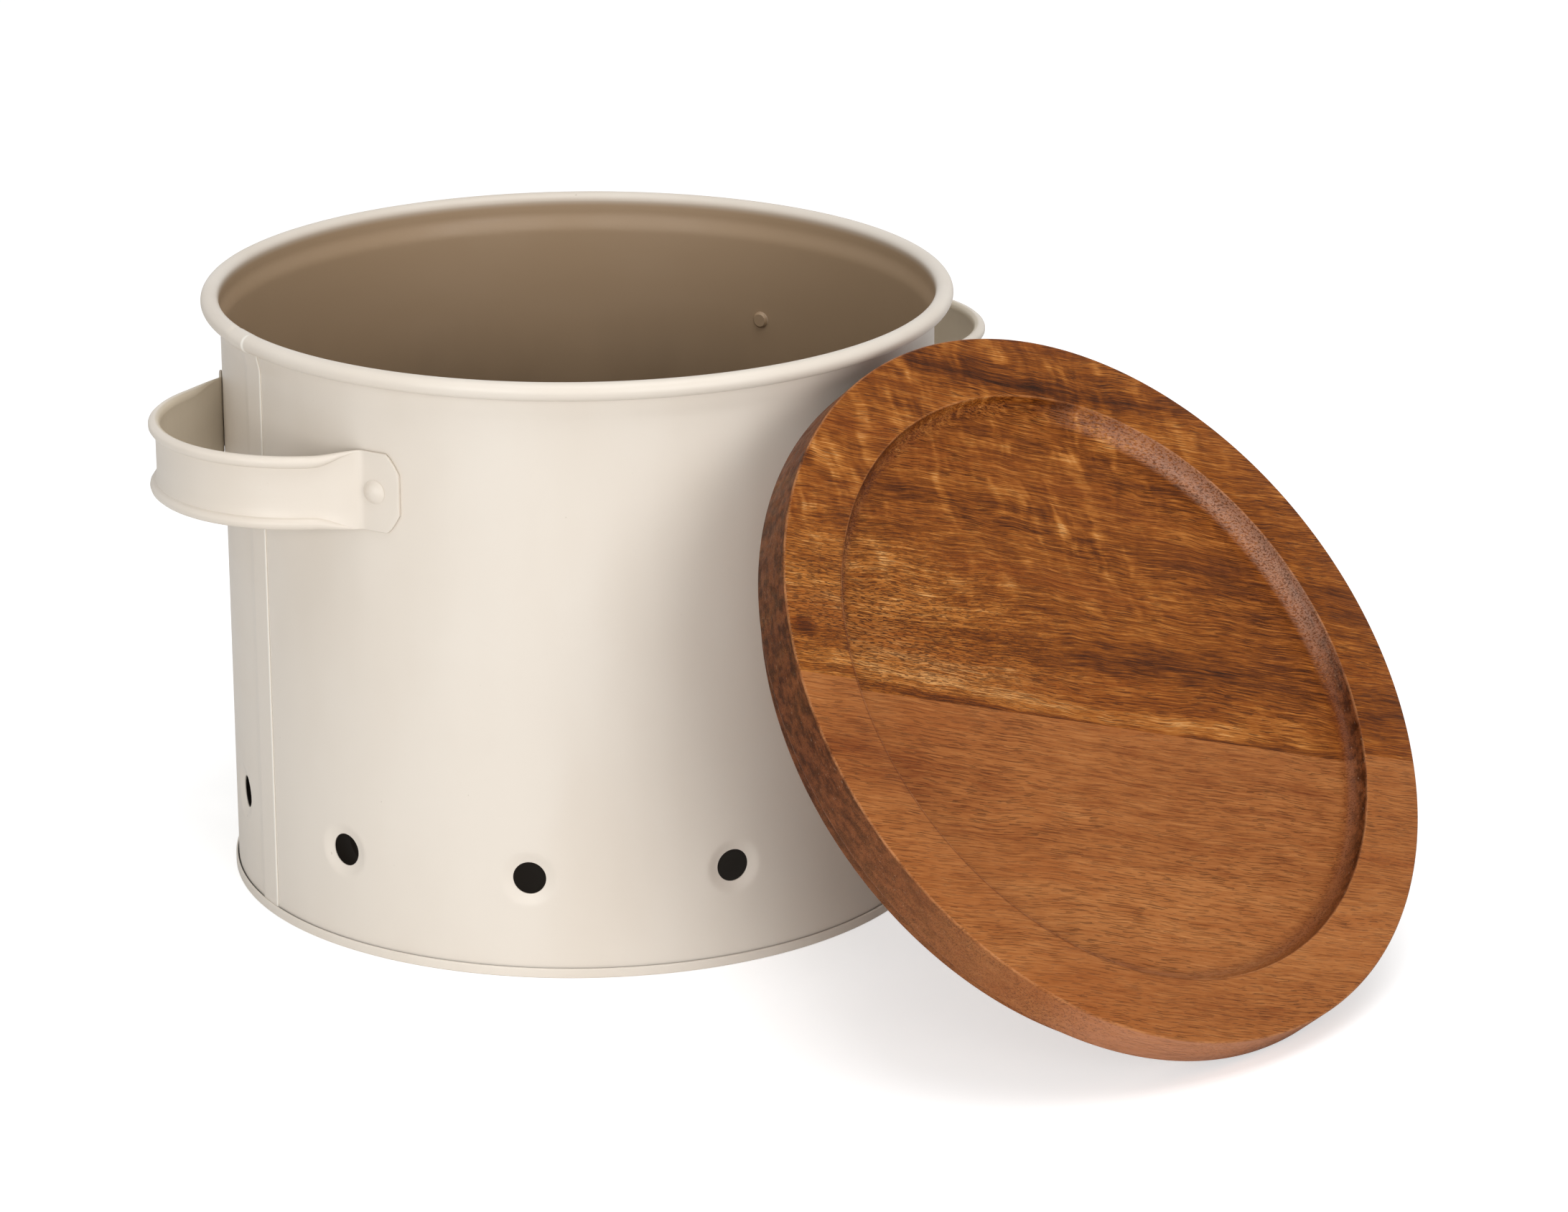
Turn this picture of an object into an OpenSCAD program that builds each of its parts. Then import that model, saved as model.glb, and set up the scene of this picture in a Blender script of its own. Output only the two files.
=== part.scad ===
// Potato storage bin. A drum is rolled from painted steel sheet, with a lapped side
// seam, a curled rim, a seamed base and a ring of dimpled vent holes. Two strap handles
// with rolled edges are riveted on, and a glued acacia lid stands leaning on the drum.
// Millimetres, +Z up. The origin is on the drum's axis, in the plane it stands on.
// An azimuth is measured from the front (-Y), positive towards the right (+X).

/* [Drum] */
// Outer radius of the rolled wall
wall_r = 119; // [105:1:135]
// Thickness of the steel sheet
sheet_t = 0.8; // [0.6:0.1:1.2]
// Height of the top of the rim above the surface
rim_top = 201.5; // [185:0.5:225]

/* [Rim curl] */
// Outer radius of the curled edge's tube
curl_r = 3; // [2.4:0.1:3.8]
// How far the neck sets the sheet outwards below the curl
rim_set = 1.1; // [0.5:0.1:2]
// Height of the sloping neck
neck_h = 7; // [4:0.5:12]
// Straight sheet between the neck and the underside of the curl
neck_gap = 0.6; // [0.2:0.1:2]
// Angle of the curl's tube left open behind its tail
curl_open = 70; // [50:5:90]

/* [Side seam] */
// Width of the lap, as an angle around the drum
lap_angle = 4.5; // [3:0.5:8]
// How far the lap stands proud of the wall
lap_step = 0.45; // [0.3:0.05:0.7]
// Azimuth of the lap's visible edge from the left handle's middle
lap_shift = 0.3; // [-3:0.1:3]

/* [Base] */
// How far the base's seam stands proud of the wall
seam_out = 1.1; // [1:0.1:1.6]
// Height of the base's seam
seam_h = 3.3; // [2.8:0.1:4.5]
// Height of the underside of the base panel above the surface
base_lift = 4.2; // [3:0.1:6]
// Radius of the pressed ring in the base panel
ring_r = 84; // [60:1:92]
// Width of the pressed ring
ring_w = 8; // [5:0.5:12]
// Height of the pressed ring
ring_h = 1.4; // [0.8:0.1:2]
// Clearance between the sheets in the base's seam
seam_fit = 0.1; // [0.05:0.05:0.2]

/* [Vent holes] */
// Number of vent holes around the drum
vent_count = 11; // [6:1:13]
// Diameter of a vent hole
vent_d = 11.1; // [8:0.1:14]
// Height of the vent holes' centres above the surface
vent_z = 33.8; // [22:0.1:50]
// Azimuth from the side seam to the next vent hole
vent_phase = 18; // [14:0.5:19]
// Width of the pressed dimple beyond the edge of a vent hole
dimple_w = 4; // [2:0.1:6]
// Depth of the pressed dimple
dimple_depth = 1.1; // [0.6:0.1:1.6]

/* [Handles] */
// Azimuth of the left handle's middle
handle_az = -60; // [-75:1:-45]
// Distance from the rim's top down to the handles' middle
handle_drop = 41.6; // [32:0.1:60]
// Thickness of the strap
strap_t = 1; // [0.8:0.1:1.4]
// Height of the strap along the grip
grip_h = 24.4; // [20:0.1:30]
// Reach of the grip beyond the wall, to the middle of its rolled edge
grip_reach = 33.1; // [28:0.1:38]
// Bend radius of the grip, to the middle of its rolled edge
grip_r = 48.9; // [44:0.1:55]
// How far the creases of the tabs lie out beyond the grip's bend, on each side
leg_spread = 0.5; // [0.2:0.1:3]
// Outer radius of the strap's rolled edges
roll_r = 2; // [1.4:0.1:2.4]
// How far the strap's web lies inside the middle of its rolled edges
web_inset = 0.8; // [0.4:0.1:0.9]
// Length over which a rolled edge fades out before the crease
fade_len = 15; // [10:1:22]
// Clearance between a handle's tab and the wall
tab_fit = 0.1; // [0.05:0.05:0.2]

/* [Handle tabs] */
// Height of a tab
tab_h = 26.5; // [24.8:0.1:32]
// Distance from the rivet to the tab's outer end
tab_end = 9.15; // [7:0.05:12]
// Distance from the crease to the rivet
rivet_in = 5.25; // [4.6:0.05:8]
// Length of a tab corner's cut along the wall
corner_w = 5; // [3:0.1:6]
// Height of a tab corner's cut
corner_h = 6.4; // [4:0.1:9]

/* [Rivets] */
// Radius of a rivet's domed head
head_r = 3.9; // [3.2:0.1:4.4]
// Height of a rivet's domed head
head_h = 1.9; // [1.2:0.1:2.4]
// Radius of a rivet's shank
shank_r = 1.6; // [1.2:0.1:2]
// Radius of a rivet's upset head inside the drum
upset_r = 2.9; // [2.4:0.1:3.6]
// Height of a rivet's upset head
upset_h = 1.1; // [0.8:0.1:1.6]
// Clearance round a rivet's shank
rivet_fit = 0.1; // [0.05:0.05:0.15]

/* [Lid] */
// Outer radius of the lid
lid_r = 124.25; // [123:0.25:130]
// Thickness of the lid's flange
flange_t = 15.2; // [12:0.1:20]
// Depth of the lid's plug, which drops into the mouth
plug_t = 10.6; // [6:0.1:14]
// Clearance between the plug and the inside of the wall
lid_fit = 1.7; // [1:0.1:3]
// Radius of the dish turned in the lid's top
dish_r = 102.7; // [85:0.1:108]
// Depth of the dish, and radius of its coved wall
dish_depth = 6; // [4:0.1:7]
// Width of the broken edge round the lid
lid_edge = 0.6; // [0.4:0.1:1.2]
// Distance of the glue line from the lid's centre
glue_offset = -13.2; // [-40:0.1:40]
// Direction of the glue line in the lid's face
glue_angle = -23.35; // [-90:0.05:90]

/* [Leaning lid] */
// Azimuth that the leaning lid faces
lean_az = 44.4; // [36:0.1:54]
// Tilt of the leaning lid from upright
lean_tilt = 40.6; // [34:0.1:44]
// Sideways place of the lid's centre along the drum's side
lean_side = 24.4; // [0:0.1:36]
// Clearance left between the leaning lid and the drum
lean_fit = 0.3; // [0.2:0.05:0.6]

/* [Hidden] */
$fn = 96;
CREAM = [0.89, 0.85, 0.8];
ACACIA = [0.57, 0.34, 0.15];
ACACIA_RED = [0.5, 0.27, 0.12];

// Drum: radii and heights of the sheet's profile
wall_in = wall_r - sheet_t;
curl_c = wall_in + rim_set + curl_r;
curl_z = rim_top - curl_r;
rim_out = curl_c + curl_r;
neck_top = curl_z - curl_r - neck_gap;
neck_z = neck_top - neck_h;
wall_z0 = sheet_t + seam_fit;
lap_z0 = seam_h + seam_fit;
seam_az = handle_az + lap_shift;

// Handles: the strap lies flat on the wall at its tabs and runs round in one bend
handle_z = rim_top - handle_drop;
tab_in = wall_r + tab_fit;
tab_out = tab_in + strap_t;
tab_mid = tab_in + strap_t / 2;
crease_u = grip_r + leg_spread;
crease_angle = asin(crease_u / tab_mid);
rivet_angle = crease_angle + rivet_in / tab_out * 180 / PI;
tab_angle = rivet_angle + tab_end / tab_out * 180 / PI;
crease_v = tab_mid * cos(crease_angle);
grip_c = wall_r + grip_reach - grip_r;
crease_d = norm([crease_u, crease_v - grip_c]);
bend_angle = atan2(crease_u, crease_v - grip_c) - acos(min(1, grip_r / crease_d));
leg_len = norm([crease_u - grip_r * sin(bend_angle),
    crease_v - grip_c - grip_r * cos(bend_angle)]);
arc_len = grip_r * bend_angle * PI / 180;
flat_h = tab_h - 0.2;
crease_h = flat_h - 0.2;

// Lid: radii and depths, and its place when it leans on the drum
plug_r = wall_in - lid_fit;
lid_t = flange_t + plug_t;
lid_corners = [[lid_r - lid_edge, flange_t], [lid_r, flange_t - lid_edge],
    [plug_r - lid_edge, lid_t], [plug_r, lid_t - lid_edge]];
lid_cz = max([for (c = lid_corners) c[0] * cos(lean_tilt) + c[1] * sin(lean_tilt)]);

// Radius that the leaning lid must stay clear of at height z
function drum_r(z) = z > rim_top + 2 ? 0
    : (z > curl_z - curl_r ? rim_out : (z > neck_z ? wall_r + rim_set : wall_r));
// Height of the point at angle a on the lid's circle of radius r at depth d
function rim_point_z(a, d, r) =
    lid_cz - d * sin(lean_tilt) + r * sin(a) * cos(lean_tilt);
// Distance of the lid's centre at which that point just clears the drum
function lean_reach(a, d, r) =
    let (side = lean_side + r * cos(a),
        clear = drum_r(rim_point_z(a, d, r)) + lean_fit)
    d * cos(lean_tilt) + r * sin(a) * sin(lean_tilt)
        + sqrt(max(0, clear * clear - side * side));
lid_circles = concat([for (i = [0:4]) [flange_t * i / 4, lid_r]], [[lid_t, plug_r]]);
lean_d = max([for (a = [0:0.5:180], c = lid_circles) lean_reach(a, c[0], c[1])]);

// Strap loft: share of the rolled edge at a distance s from the crease
function ease(t) = t <= 0 ? 0 : (t >= 1 ? 1 : t * t * (3 - 2 * t));
function roll_share(s) = ease((s - 1) / fade_len);
// Section of the strap, as [outward, height] points, for a share b of its rolled edges
ROLL_STEPS = 13;
function roll_edge(b, top) =
    let (r = strap_t / 2 + (roll_r - strap_t / 2) * b,
        h = flat_h + (grip_h - flat_h) * b,
        x0 = -web_inset * b - strap_t / 2,
        x1 = -web_inset * b + strap_t / 2,
        a0 = 360 - acos(max(-1, x0 / r)),
        a1 = -acos(min(1, x1 / r)))
    [for (i = [0:ROLL_STEPS])
        let (a = a0 + (a1 - a0) * i / ROLL_STEPS)
        [r * cos(a), (h / 2 - r + r * sin(a)) * top]];
function reversed(v) = [for (i = [len(v) - 1:-1:0]) v[i]];
function strap_section(b) = concat(roll_edge(b, 1), reversed(roll_edge(b, -1)));
// Stations along the strap: [place along the wall, reach, normal angle, share of roll]
ARC_STEPS = 40;
LEG_STEPS = 4;
function leg_station(side, k) =
    let (s = leg_len * k)
    [side * (grip_r * sin(bend_angle) + s * cos(bend_angle)),
        grip_c + grip_r * cos(bend_angle) - s * sin(bend_angle),
        side * bend_angle, roll_share(leg_len - s)];
function arc_station(a) =
    [grip_r * sin(a), grip_c + grip_r * cos(a), a,
        roll_share(leg_len + arc_len * (1 - abs(a) / bend_angle))];
stations = concat(
    [for (i = [LEG_STEPS:-1:1]) leg_station(-1, i / LEG_STEPS)],
    [for (i = [0:ARC_STEPS]) arc_station(-bend_angle + 2 * bend_angle * i / ARC_STEPS)],
    [for (i = [1:LEG_STEPS]) leg_station(1, i / LEG_STEPS)]);

// Places children, drawn at the front (-Y), at an azimuth round the drum
module at_az(az) {
    rotate([0, 0, az]) children();
}

// Profile of the rolled sheet, from the foot z0 to the tail of the curl
module sheet_profile(z0) {
    polygon([[wall_in, z0], [wall_r, z0], [wall_r, neck_z],
        [wall_r + rim_set, neck_top], [wall_r + rim_set, curl_z],
        [wall_in + rim_set, curl_z], [wall_in + rim_set, neck_top], [wall_in, neck_z]]);
    translate([curl_c, curl_z]) difference() {
        circle(r = curl_r);
        circle(r = curl_r - sheet_t);
        polygon([[0, 0], [-3 * curl_r, 0], [-3 * curl_r, -3 * curl_r],
            3 * curl_r * [-cos(curl_open), -sin(curl_open)]]);
    }
}

// Solid turned round a vent hole's axis, from points [radius, distance from the axis]
module vent_turned(points) {
    translate([0, 0, vent_z]) rotate([90, 0, 0]) rotate_extrude() polygon(points);
}

// Sheet pushed inwards round one vent hole, ending inside the thickness of the wall
module vent_dimple() {
    inner = wall_in - dimple_depth;
    r = vent_d / 2 + sheet_t * 0.7;
    intersection() {
        vent_turned([[0, inner], [r, inner], [r + dimple_w, wall_r], [0, wall_r]]);
        cylinder(h = vent_z * 2, r = wall_r - sheet_t * 0.4);
    }
}

// What is taken out of the wall at one vent hole: the dimple's hollow and the hole
module vent_cut() {
    inner = wall_in - dimple_depth - 1;
    r = vent_d / 2;
    vent_turned([[0, inner], [r, inner], [r, wall_r - dimple_depth],
        [r + dimple_w, wall_r], [r + dimple_w, wall_r + 1], [0, wall_r + 1]]);
}

// Hole for a rivet's shank through everything between the radii y0 and y1
module shank_hole(y0, y1) {
    translate([0, -y0, handle_z]) rotate([90, 0, 0])
        cylinder(h = y1 - y0, r = shank_r + rivet_fit);
}

// The rolled wall: curled rim, lapped side seam, vent holes and rivet holes
module bin_wall() {
    color(CREAM) difference() {
        union() {
            rotate_extrude() sheet_profile(wall_z0);
            rotate([0, 0, -90 + seam_az - lap_angle]) rotate_extrude(angle = lap_angle)
                translate([lap_step, 0]) sheet_profile(lap_z0);
            for (i = [0:vent_count - 1])
                at_az(seam_az + vent_phase + i * 360 / vent_count) vent_dimple();
        }
        for (i = [0:vent_count - 1])
            at_az(seam_az + vent_phase + i * 360 / vent_count) vent_cut();
        for (az = [handle_az, handle_az + 180], side = [-1, 1])
            at_az(az + side * rivet_angle) shank_hole(wall_in - 2, wall_r + 2);
    }
}

// Points of an arc round c from angle a0 to a1
function arc_points(c, r, a0, a1, n) =
    [for (i = [0:n]) let (a = a0 + (a1 - a0) * i / n) c + r * [cos(a), sin(a)]];

// The base: a sunk panel whose edge folds down and up round the foot of the wall
module base_disc() {
    in_r = wall_in - seam_fit;
    out_r = wall_r + seam_fit;
    lip_r = wall_r + seam_out;
    lip = (lip_r - out_r) / 2;
    fold = sheet_t * 0.6;
    top = base_lift + sheet_t;
    r0 = ring_r - ring_w / 2;
    r1 = ring_r + ring_w / 2;
    color(CREAM) rotate_extrude() polygon(concat(
        [[0, base_lift], [r0, base_lift], [r0 + ring_h, base_lift + ring_h],
            [r1 - ring_h, base_lift + ring_h], [r1, base_lift],
            [in_r - sheet_t, base_lift]],
        arc_points([in_r - sheet_t + fold, fold], fold, 180, 270, 5),
        arc_points([lip_r - fold, fold], fold, 270, 360, 5),
        arc_points([lip_r - lip, seam_h - lip], lip, 0, 180, 8),
        [[out_r, sheet_t], [in_r, sheet_t], [in_r, top],
            [r1 + sheet_t * 0.4, top], [r1 - ring_h + sheet_t * 0.4, top + ring_h],
            [r0 + ring_h - sheet_t * 0.4, top + ring_h], [r0 - sheet_t * 0.4, top],
            [0, top]]));
}

// The loop of a handle's strap, lofted so that its rolled edges fade into the flat
module strap_loop() {
    rings = [for (s = stations) [for (q = strap_section(s[3]))
        [s[0] + q[0] * sin(s[2]), -(s[1] + q[0] * cos(s[2])), q[1]]]];
    n = len(rings[0]);
    m = len(rings);
    polyhedron(
        points = [for (r = rings) each r],
        faces = concat(
            [[for (j = [0:n - 1]) j]],
            [[for (j = [n - 1:-1:0]) (m - 1) * n + j]],
            [for (i = [0:m - 2], j = [0:n - 1]) each
                let (a = i * n + j, b = i * n + (j + 1) % n)
                [[a, a + n, b], [b, a + n, b + n]]]));
}

// Outline of a tab on the front side of a handle, seen from outside, round its rivet
module tab_outline() {
    half = tab_h / 2;
    polygon([[-rivet_in * 2, -half], [tab_end - corner_w, -half],
        [tab_end - corner_w / 4, -half + corner_h * 0.67], [tab_end, -half + corner_h],
        [tab_end, half - corner_h], [tab_end - corner_w / 4, half - corner_h * 0.67],
        [tab_end - corner_w, half], [-rivet_in * 2, half]]);
}

// A tab: part of a ring that lies on the wall, cut to its outline
module strap_tab() {
    intersection() {
        translate([0, 0, -tab_h]) rotate([0, 0, -90 + crease_angle])
            rotate_extrude(angle = tab_angle - crease_angle + 2)
            translate([tab_in, 0]) square([strap_t, 2 * tab_h]);
        rotate([0, 0, rivet_angle]) translate([0, -tab_out - 4, 0]) rotate([-90, 0, 0])
            linear_extrude(height = strap_t + 8) tab_outline();
    }
    translate([crease_u, -crease_v, -crease_h / 2])
        cylinder(h = crease_h, r = strap_t / 2 - 0.02, $fn = 32);
}

// One strap handle, at the azimuth of its middle
module strap_handle(az) {
    color(CREAM) difference() {
        translate([0, 0, handle_z]) at_az(az) {
            strap_loop();
            strap_tab();
            mirror([1, 0, 0]) strap_tab();
        }
        for (side = [-1, 1])
            at_az(az + side * rivet_angle) shank_hole(wall_r - 1, tab_out + 2);
    }
}

module handle_left() {
    strap_handle(handle_az);
}

module handle_right() {
    strap_handle(handle_az + 180);
}

// Cap of a sphere with base radius r and height h, standing on z = 0
module dome(r, h) {
    ball = (r * r + h * h) / (2 * h);
    intersection() {
        translate([0, 0, h - ball]) sphere(r = ball);
        cylinder(h = h + 1, r = r + 1);
    }
}

// One rivet: domed head on the tab, shank through tab and wall, upset head inside
module rivet(az) {
    upset_y = sqrt(wall_in * wall_in - upset_r * upset_r) - 0.02;
    color(CREAM) at_az(az) translate([0, 0, handle_z]) rotate([90, 0, 0]) {
        translate([0, 0, tab_out]) dome(head_r, head_h);
        translate([0, 0, upset_y - 0.1]) cylinder(h = tab_out - upset_y + 0.2, r = shank_r);
        translate([0, 0, upset_y - upset_h]) cylinder(h = upset_h, r1 = upset_r * 0.8,
            r2 = upset_r);
    }
}

module rivet_left_front() {
    rivet(handle_az + rivet_angle);
}

module rivet_left_rear() {
    rivet(handle_az - rivet_angle);
}

module rivet_right_front() {
    rivet(handle_az + 180 - rivet_angle);
}

module rivet_right_rear() {
    rivet(handle_az + 180 + rivet_angle);
}

// The turned lid, top up, with the centre of its top at the origin
module lid_blank() {
    rotate_extrude() difference() {
        polygon([[0, -lid_t], [plug_r - lid_edge, -lid_t], [plug_r, -lid_t + lid_edge],
            [plug_r, -flange_t], [lid_r - lid_edge, -flange_t],
            [lid_r, -flange_t + lid_edge], [lid_r, -lid_edge], [lid_r - lid_edge, 0],
            [0, 0]]);
        translate([0, -dish_depth]) square([dish_r - dish_depth, dish_depth + 1]);
        intersection() {
            translate([dish_r - dish_depth, 0]) circle(r = dish_depth);
            translate([dish_r - dish_depth - 1, -dish_depth - 1])
                square([dish_depth + 2, dish_depth + 2]);
        }
    }
}

// Everything on one side of the glue line, in the lid's own frame
module glue_side(side) {
    rotate([0, 0, glue_angle]) translate([0, glue_offset, 0])
        translate([-2 * lid_r, side > 0 ? 0 : -3 * lid_r, -2 * lid_t])
        cube([4 * lid_r, 3 * lid_r, 4 * lid_t]);
}

// Places the lid so that it stands on its edges and leans on the drum
module leaning() {
    at_az(lean_az) translate([lean_side, -lean_d, lid_cz])
        rotate([90 - lean_tilt, 0, 0]) children();
}

module lid_board_upper() {
    color(ACACIA) leaning() intersection() {
        lid_blank();
        glue_side(1);
    }
}

module lid_board_lower() {
    color(ACACIA_RED) leaning() intersection() {
        lid_blank();
        glue_side(-1);
    }
}

bin_wall();
base_disc();
handle_left();
handle_right();
rivet_left_front();
rivet_left_rear();
rivet_right_front();
rivet_right_rear();
lid_board_upper();
lid_board_lower();
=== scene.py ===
"""Looks of a potato storage bin: a vented drum of painted steel and its acacia lid.

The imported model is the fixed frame. Every piece that shows is modelled here in that
frame: the rolled wall with its curled rim and dimpled vents, the folded base, the
strap handles, their rivets, and the two glued boards of the lid that leans on the
drum. Sizes are millimetres in the classes and metres in the meshes.
"""

import logging
import math
from contextlib import contextmanager
from dataclasses import dataclass
from enum import Enum
from functools import cached_property, partial, reduce
from itertools import pairwise
from typing import Callable, Iterator, Sequence

import bmesh
import bpy
from mathutils import Matrix, Vector


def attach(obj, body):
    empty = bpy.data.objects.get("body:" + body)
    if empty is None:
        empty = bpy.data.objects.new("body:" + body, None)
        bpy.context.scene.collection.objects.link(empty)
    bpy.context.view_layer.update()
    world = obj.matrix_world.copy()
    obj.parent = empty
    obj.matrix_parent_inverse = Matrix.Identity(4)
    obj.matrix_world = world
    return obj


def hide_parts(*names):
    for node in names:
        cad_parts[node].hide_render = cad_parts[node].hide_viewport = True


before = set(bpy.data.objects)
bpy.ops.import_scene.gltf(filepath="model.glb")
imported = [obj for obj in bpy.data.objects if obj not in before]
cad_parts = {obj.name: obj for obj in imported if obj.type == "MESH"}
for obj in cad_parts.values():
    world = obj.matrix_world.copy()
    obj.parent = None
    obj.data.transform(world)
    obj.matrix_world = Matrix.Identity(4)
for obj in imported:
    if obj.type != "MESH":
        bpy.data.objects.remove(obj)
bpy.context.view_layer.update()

log = logging.getLogger("potato_bin")

MM = 0.001
TURN = 2.0 * math.pi
Outline = list[tuple[float, float]]
Socket = bpy.types.NodeSocket


class Slot(Enum):
    """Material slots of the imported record."""

    ENAMEL = "enamel"
    GOLDEN_BOARD = "board_golden"
    RED_BOARD = "board_red"


class Body(Enum):
    """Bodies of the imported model."""

    BIN = "bin"
    LID = "lid"


def ease(share: float) -> float:
    """Eases a share from 0 to 1, level at both ends."""
    held = min(1.0, max(0.0, share))
    return held * held * (3.0 - 2.0 * held)


def spaced(keys: Sequence[float], widest: float) -> list[float]:
    """Adds evenly spaced stations between key stations.

    Args:
        keys: Stations that are kept, in rising order.
        widest: Largest step left between two stations.

    Returns:
        All stations, in rising order.
    """
    stations = [keys[0]]
    for low, high in pairwise(keys):
        steps = max(1, math.ceil((high - low) / widest))
        stations += [low + (high - low) * step / steps for step in range(1, steps + 1)]
    return stations


def arc(
    centre: tuple[float, float], radius: float, start: float, end: float, steps: int
) -> Outline:
    """Points of an arc, with both ends.

    Args:
        centre: Centre of the arc.
        radius: Radius of the arc.
        start: First angle, in degrees.
        end: Last angle, in degrees.
        steps: Number of chords.

    Returns:
        The points, as pairs.
    """
    angles = [math.radians(start + (end - start) * i / steps) for i in range(steps + 1)]
    return [
        (centre[0] + radius * math.cos(a), centre[1] + radius * math.sin(a))
        for a in angles
    ]


def heading(angle: float) -> Vector:
    """Direction at an angle from the Y axis, in radians, clockwise."""
    return Vector((math.sin(angle), math.cos(angle)))


def take_up(piece: bpy.types.Object) -> None:
    """Makes a piece the only selected and the active one.

    Args:
        piece: The mesh.
    """
    bpy.ops.object.select_all(action="DESELECT")
    piece.select_set(True)
    bpy.context.view_layer.objects.active = piece


@contextmanager
def editing(piece: bpy.types.Object) -> Iterator[None]:
    """Holds a piece in edit mode with nothing selected.

    Args:
        piece: The mesh to edit.

    Yields:
        Nothing, while the piece is in edit mode.
    """
    take_up(piece)
    bpy.ops.object.mode_set(mode="EDIT")
    bpy.ops.mesh.select_mode(type="VERT")
    bpy.ops.mesh.select_all(action="DESELECT")
    yield
    bpy.ops.object.mode_set(mode="OBJECT")


def pick_faces(piece: bpy.types.Object, wanted: Callable[[Vector], bool]) -> None:
    """Selects the faces whose middle is wanted, in edit mode.

    Args:
        piece: The mesh.
        wanted: Tells whether a face with this middle is wanted.
    """
    bpy.ops.mesh.select_mode(type="FACE")
    mesh = bmesh.from_edit_mesh(piece.data)
    for face in mesh.faces:
        face.select_set(wanted(face.calc_center_median()))
    bmesh.update_edit_mesh(piece.data)


def pick_points(piece: bpy.types.Object, wanted: Callable[[Vector], bool]) -> None:
    """Selects the points that are wanted, in edit mode.

    Args:
        piece: The mesh.
        wanted: Tells whether a point at this place is wanted.
    """
    bpy.ops.mesh.select_mode(type="VERT")
    mesh = bmesh.from_edit_mesh(piece.data)
    for point in mesh.verts:
        point.select_set(wanted(point.co))
    mesh.select_flush_mode()
    bmesh.update_edit_mesh(piece.data)


def move_picked(piece: bpy.types.Object, place: Callable[[Vector], Vector]) -> None:
    """Moves the selected points to where place sends them, in edit mode.

    Args:
        piece: The mesh.
        place: Takes a point to its new place.
    """
    mesh = bmesh.from_edit_mesh(piece.data)
    for point in mesh.verts:
        if point.select:
            point.co = place(point.co)
    bmesh.update_edit_mesh(piece.data)


def reshape(piece: bpy.types.Object, place: Callable[[Vector], Vector]) -> None:
    """Moves every point of a piece to where place sends it.

    Args:
        piece: The mesh.
        place: Takes a point to its new place.
    """
    for point in piece.data.vertices:
        point.co = place(point.co)
    piece.data.update()


def close_up(piece: bpy.types.Object) -> None:
    """Merges doubled points, drops loose edges and turns every face outwards.

    Args:
        piece: The mesh.
    """
    with editing(piece):
        bpy.ops.mesh.select_all(action="SELECT")
        bpy.ops.mesh.remove_doubles(threshold=1e-6)
        bpy.ops.mesh.delete_loose()
        bpy.ops.mesh.select_all(action="SELECT")
        bpy.ops.mesh.normals_make_consistent(inside=False)


def apply_modifier(piece: bpy.types.Object, kind: str, **settings: object) -> None:
    """Adds a modifier to a piece and applies it.

    Args:
        piece: The mesh.
        kind: Blender's name of the modifier type.
        settings: Values of the modifier's properties.
    """
    take_up(piece)
    modifier = piece.modifiers.new(kind.title(), kind)
    for name, value in settings.items():
        setattr(modifier, name, value)
    bpy.ops.object.modifier_apply(modifier=modifier.name)


def soften_edges(piece: bpy.types.Object, width: float, angle: float) -> None:
    """Rounds the sharp edges of a piece.

    Args:
        piece: The mesh.
        width: Width of the rounding, in millimetres.
        angle: Least angle of an edge that is rounded, in degrees.
    """
    apply_modifier(
        piece,
        "BEVEL",
        width=width * MM,
        segments=2,
        limit_method="ANGLE",
        angle_limit=math.radians(angle),
        harden_normals=False,
        use_clamp_overlap=True,
    )


def smooth(piece: bpy.types.Object, angle: float = 32.0) -> None:
    """Shades a piece smooth but for edges sharper than an angle in degrees."""
    take_up(piece)
    bpy.ops.object.shade_smooth_by_angle(angle=math.radians(angle))


def turned(name: str, outline: Outline, steps: int) -> bpy.types.Object:
    """Spins a closed outline round the Z axis.

    Args:
        name: Name of the piece.
        outline: Points as (radius, height), in millimetres.
        steps: Number of steps in the whole turn.

    Returns:
        The closed piece, in metres.
    """
    bpy.ops.object.select_all(action="DESELECT")
    bpy.ops.mesh.primitive_circle_add(vertices=len(outline), fill_type="NOTHING")
    piece = bpy.context.object
    piece.name = piece.data.name = name
    for point, (radius, height) in zip(piece.data.vertices, outline):
        point.co = (radius * MM, 0.0, height * MM)
    with editing(piece):
        bpy.ops.mesh.select_all(action="SELECT")
        bpy.ops.mesh.spin(steps=steps, angle=TURN, center=(0, 0, 0), axis=(0, 0, 1))
    close_up(piece)
    return piece


def dress(
    piece: bpy.types.Object,
    finish: bpy.types.Material,
    slot: Slot,
    body: Body,
    *nodes: str,
) -> None:
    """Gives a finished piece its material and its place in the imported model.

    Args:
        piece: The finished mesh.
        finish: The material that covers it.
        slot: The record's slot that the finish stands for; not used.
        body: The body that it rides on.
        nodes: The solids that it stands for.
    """
    piece.data.materials.clear()
    piece.data.materials.append(finish)
    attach(piece, body.value)
    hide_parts(*nodes)
    log.info("%s: %d faces, rides on %s", piece.name, len(piece.data.polygons), body.value)


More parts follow.
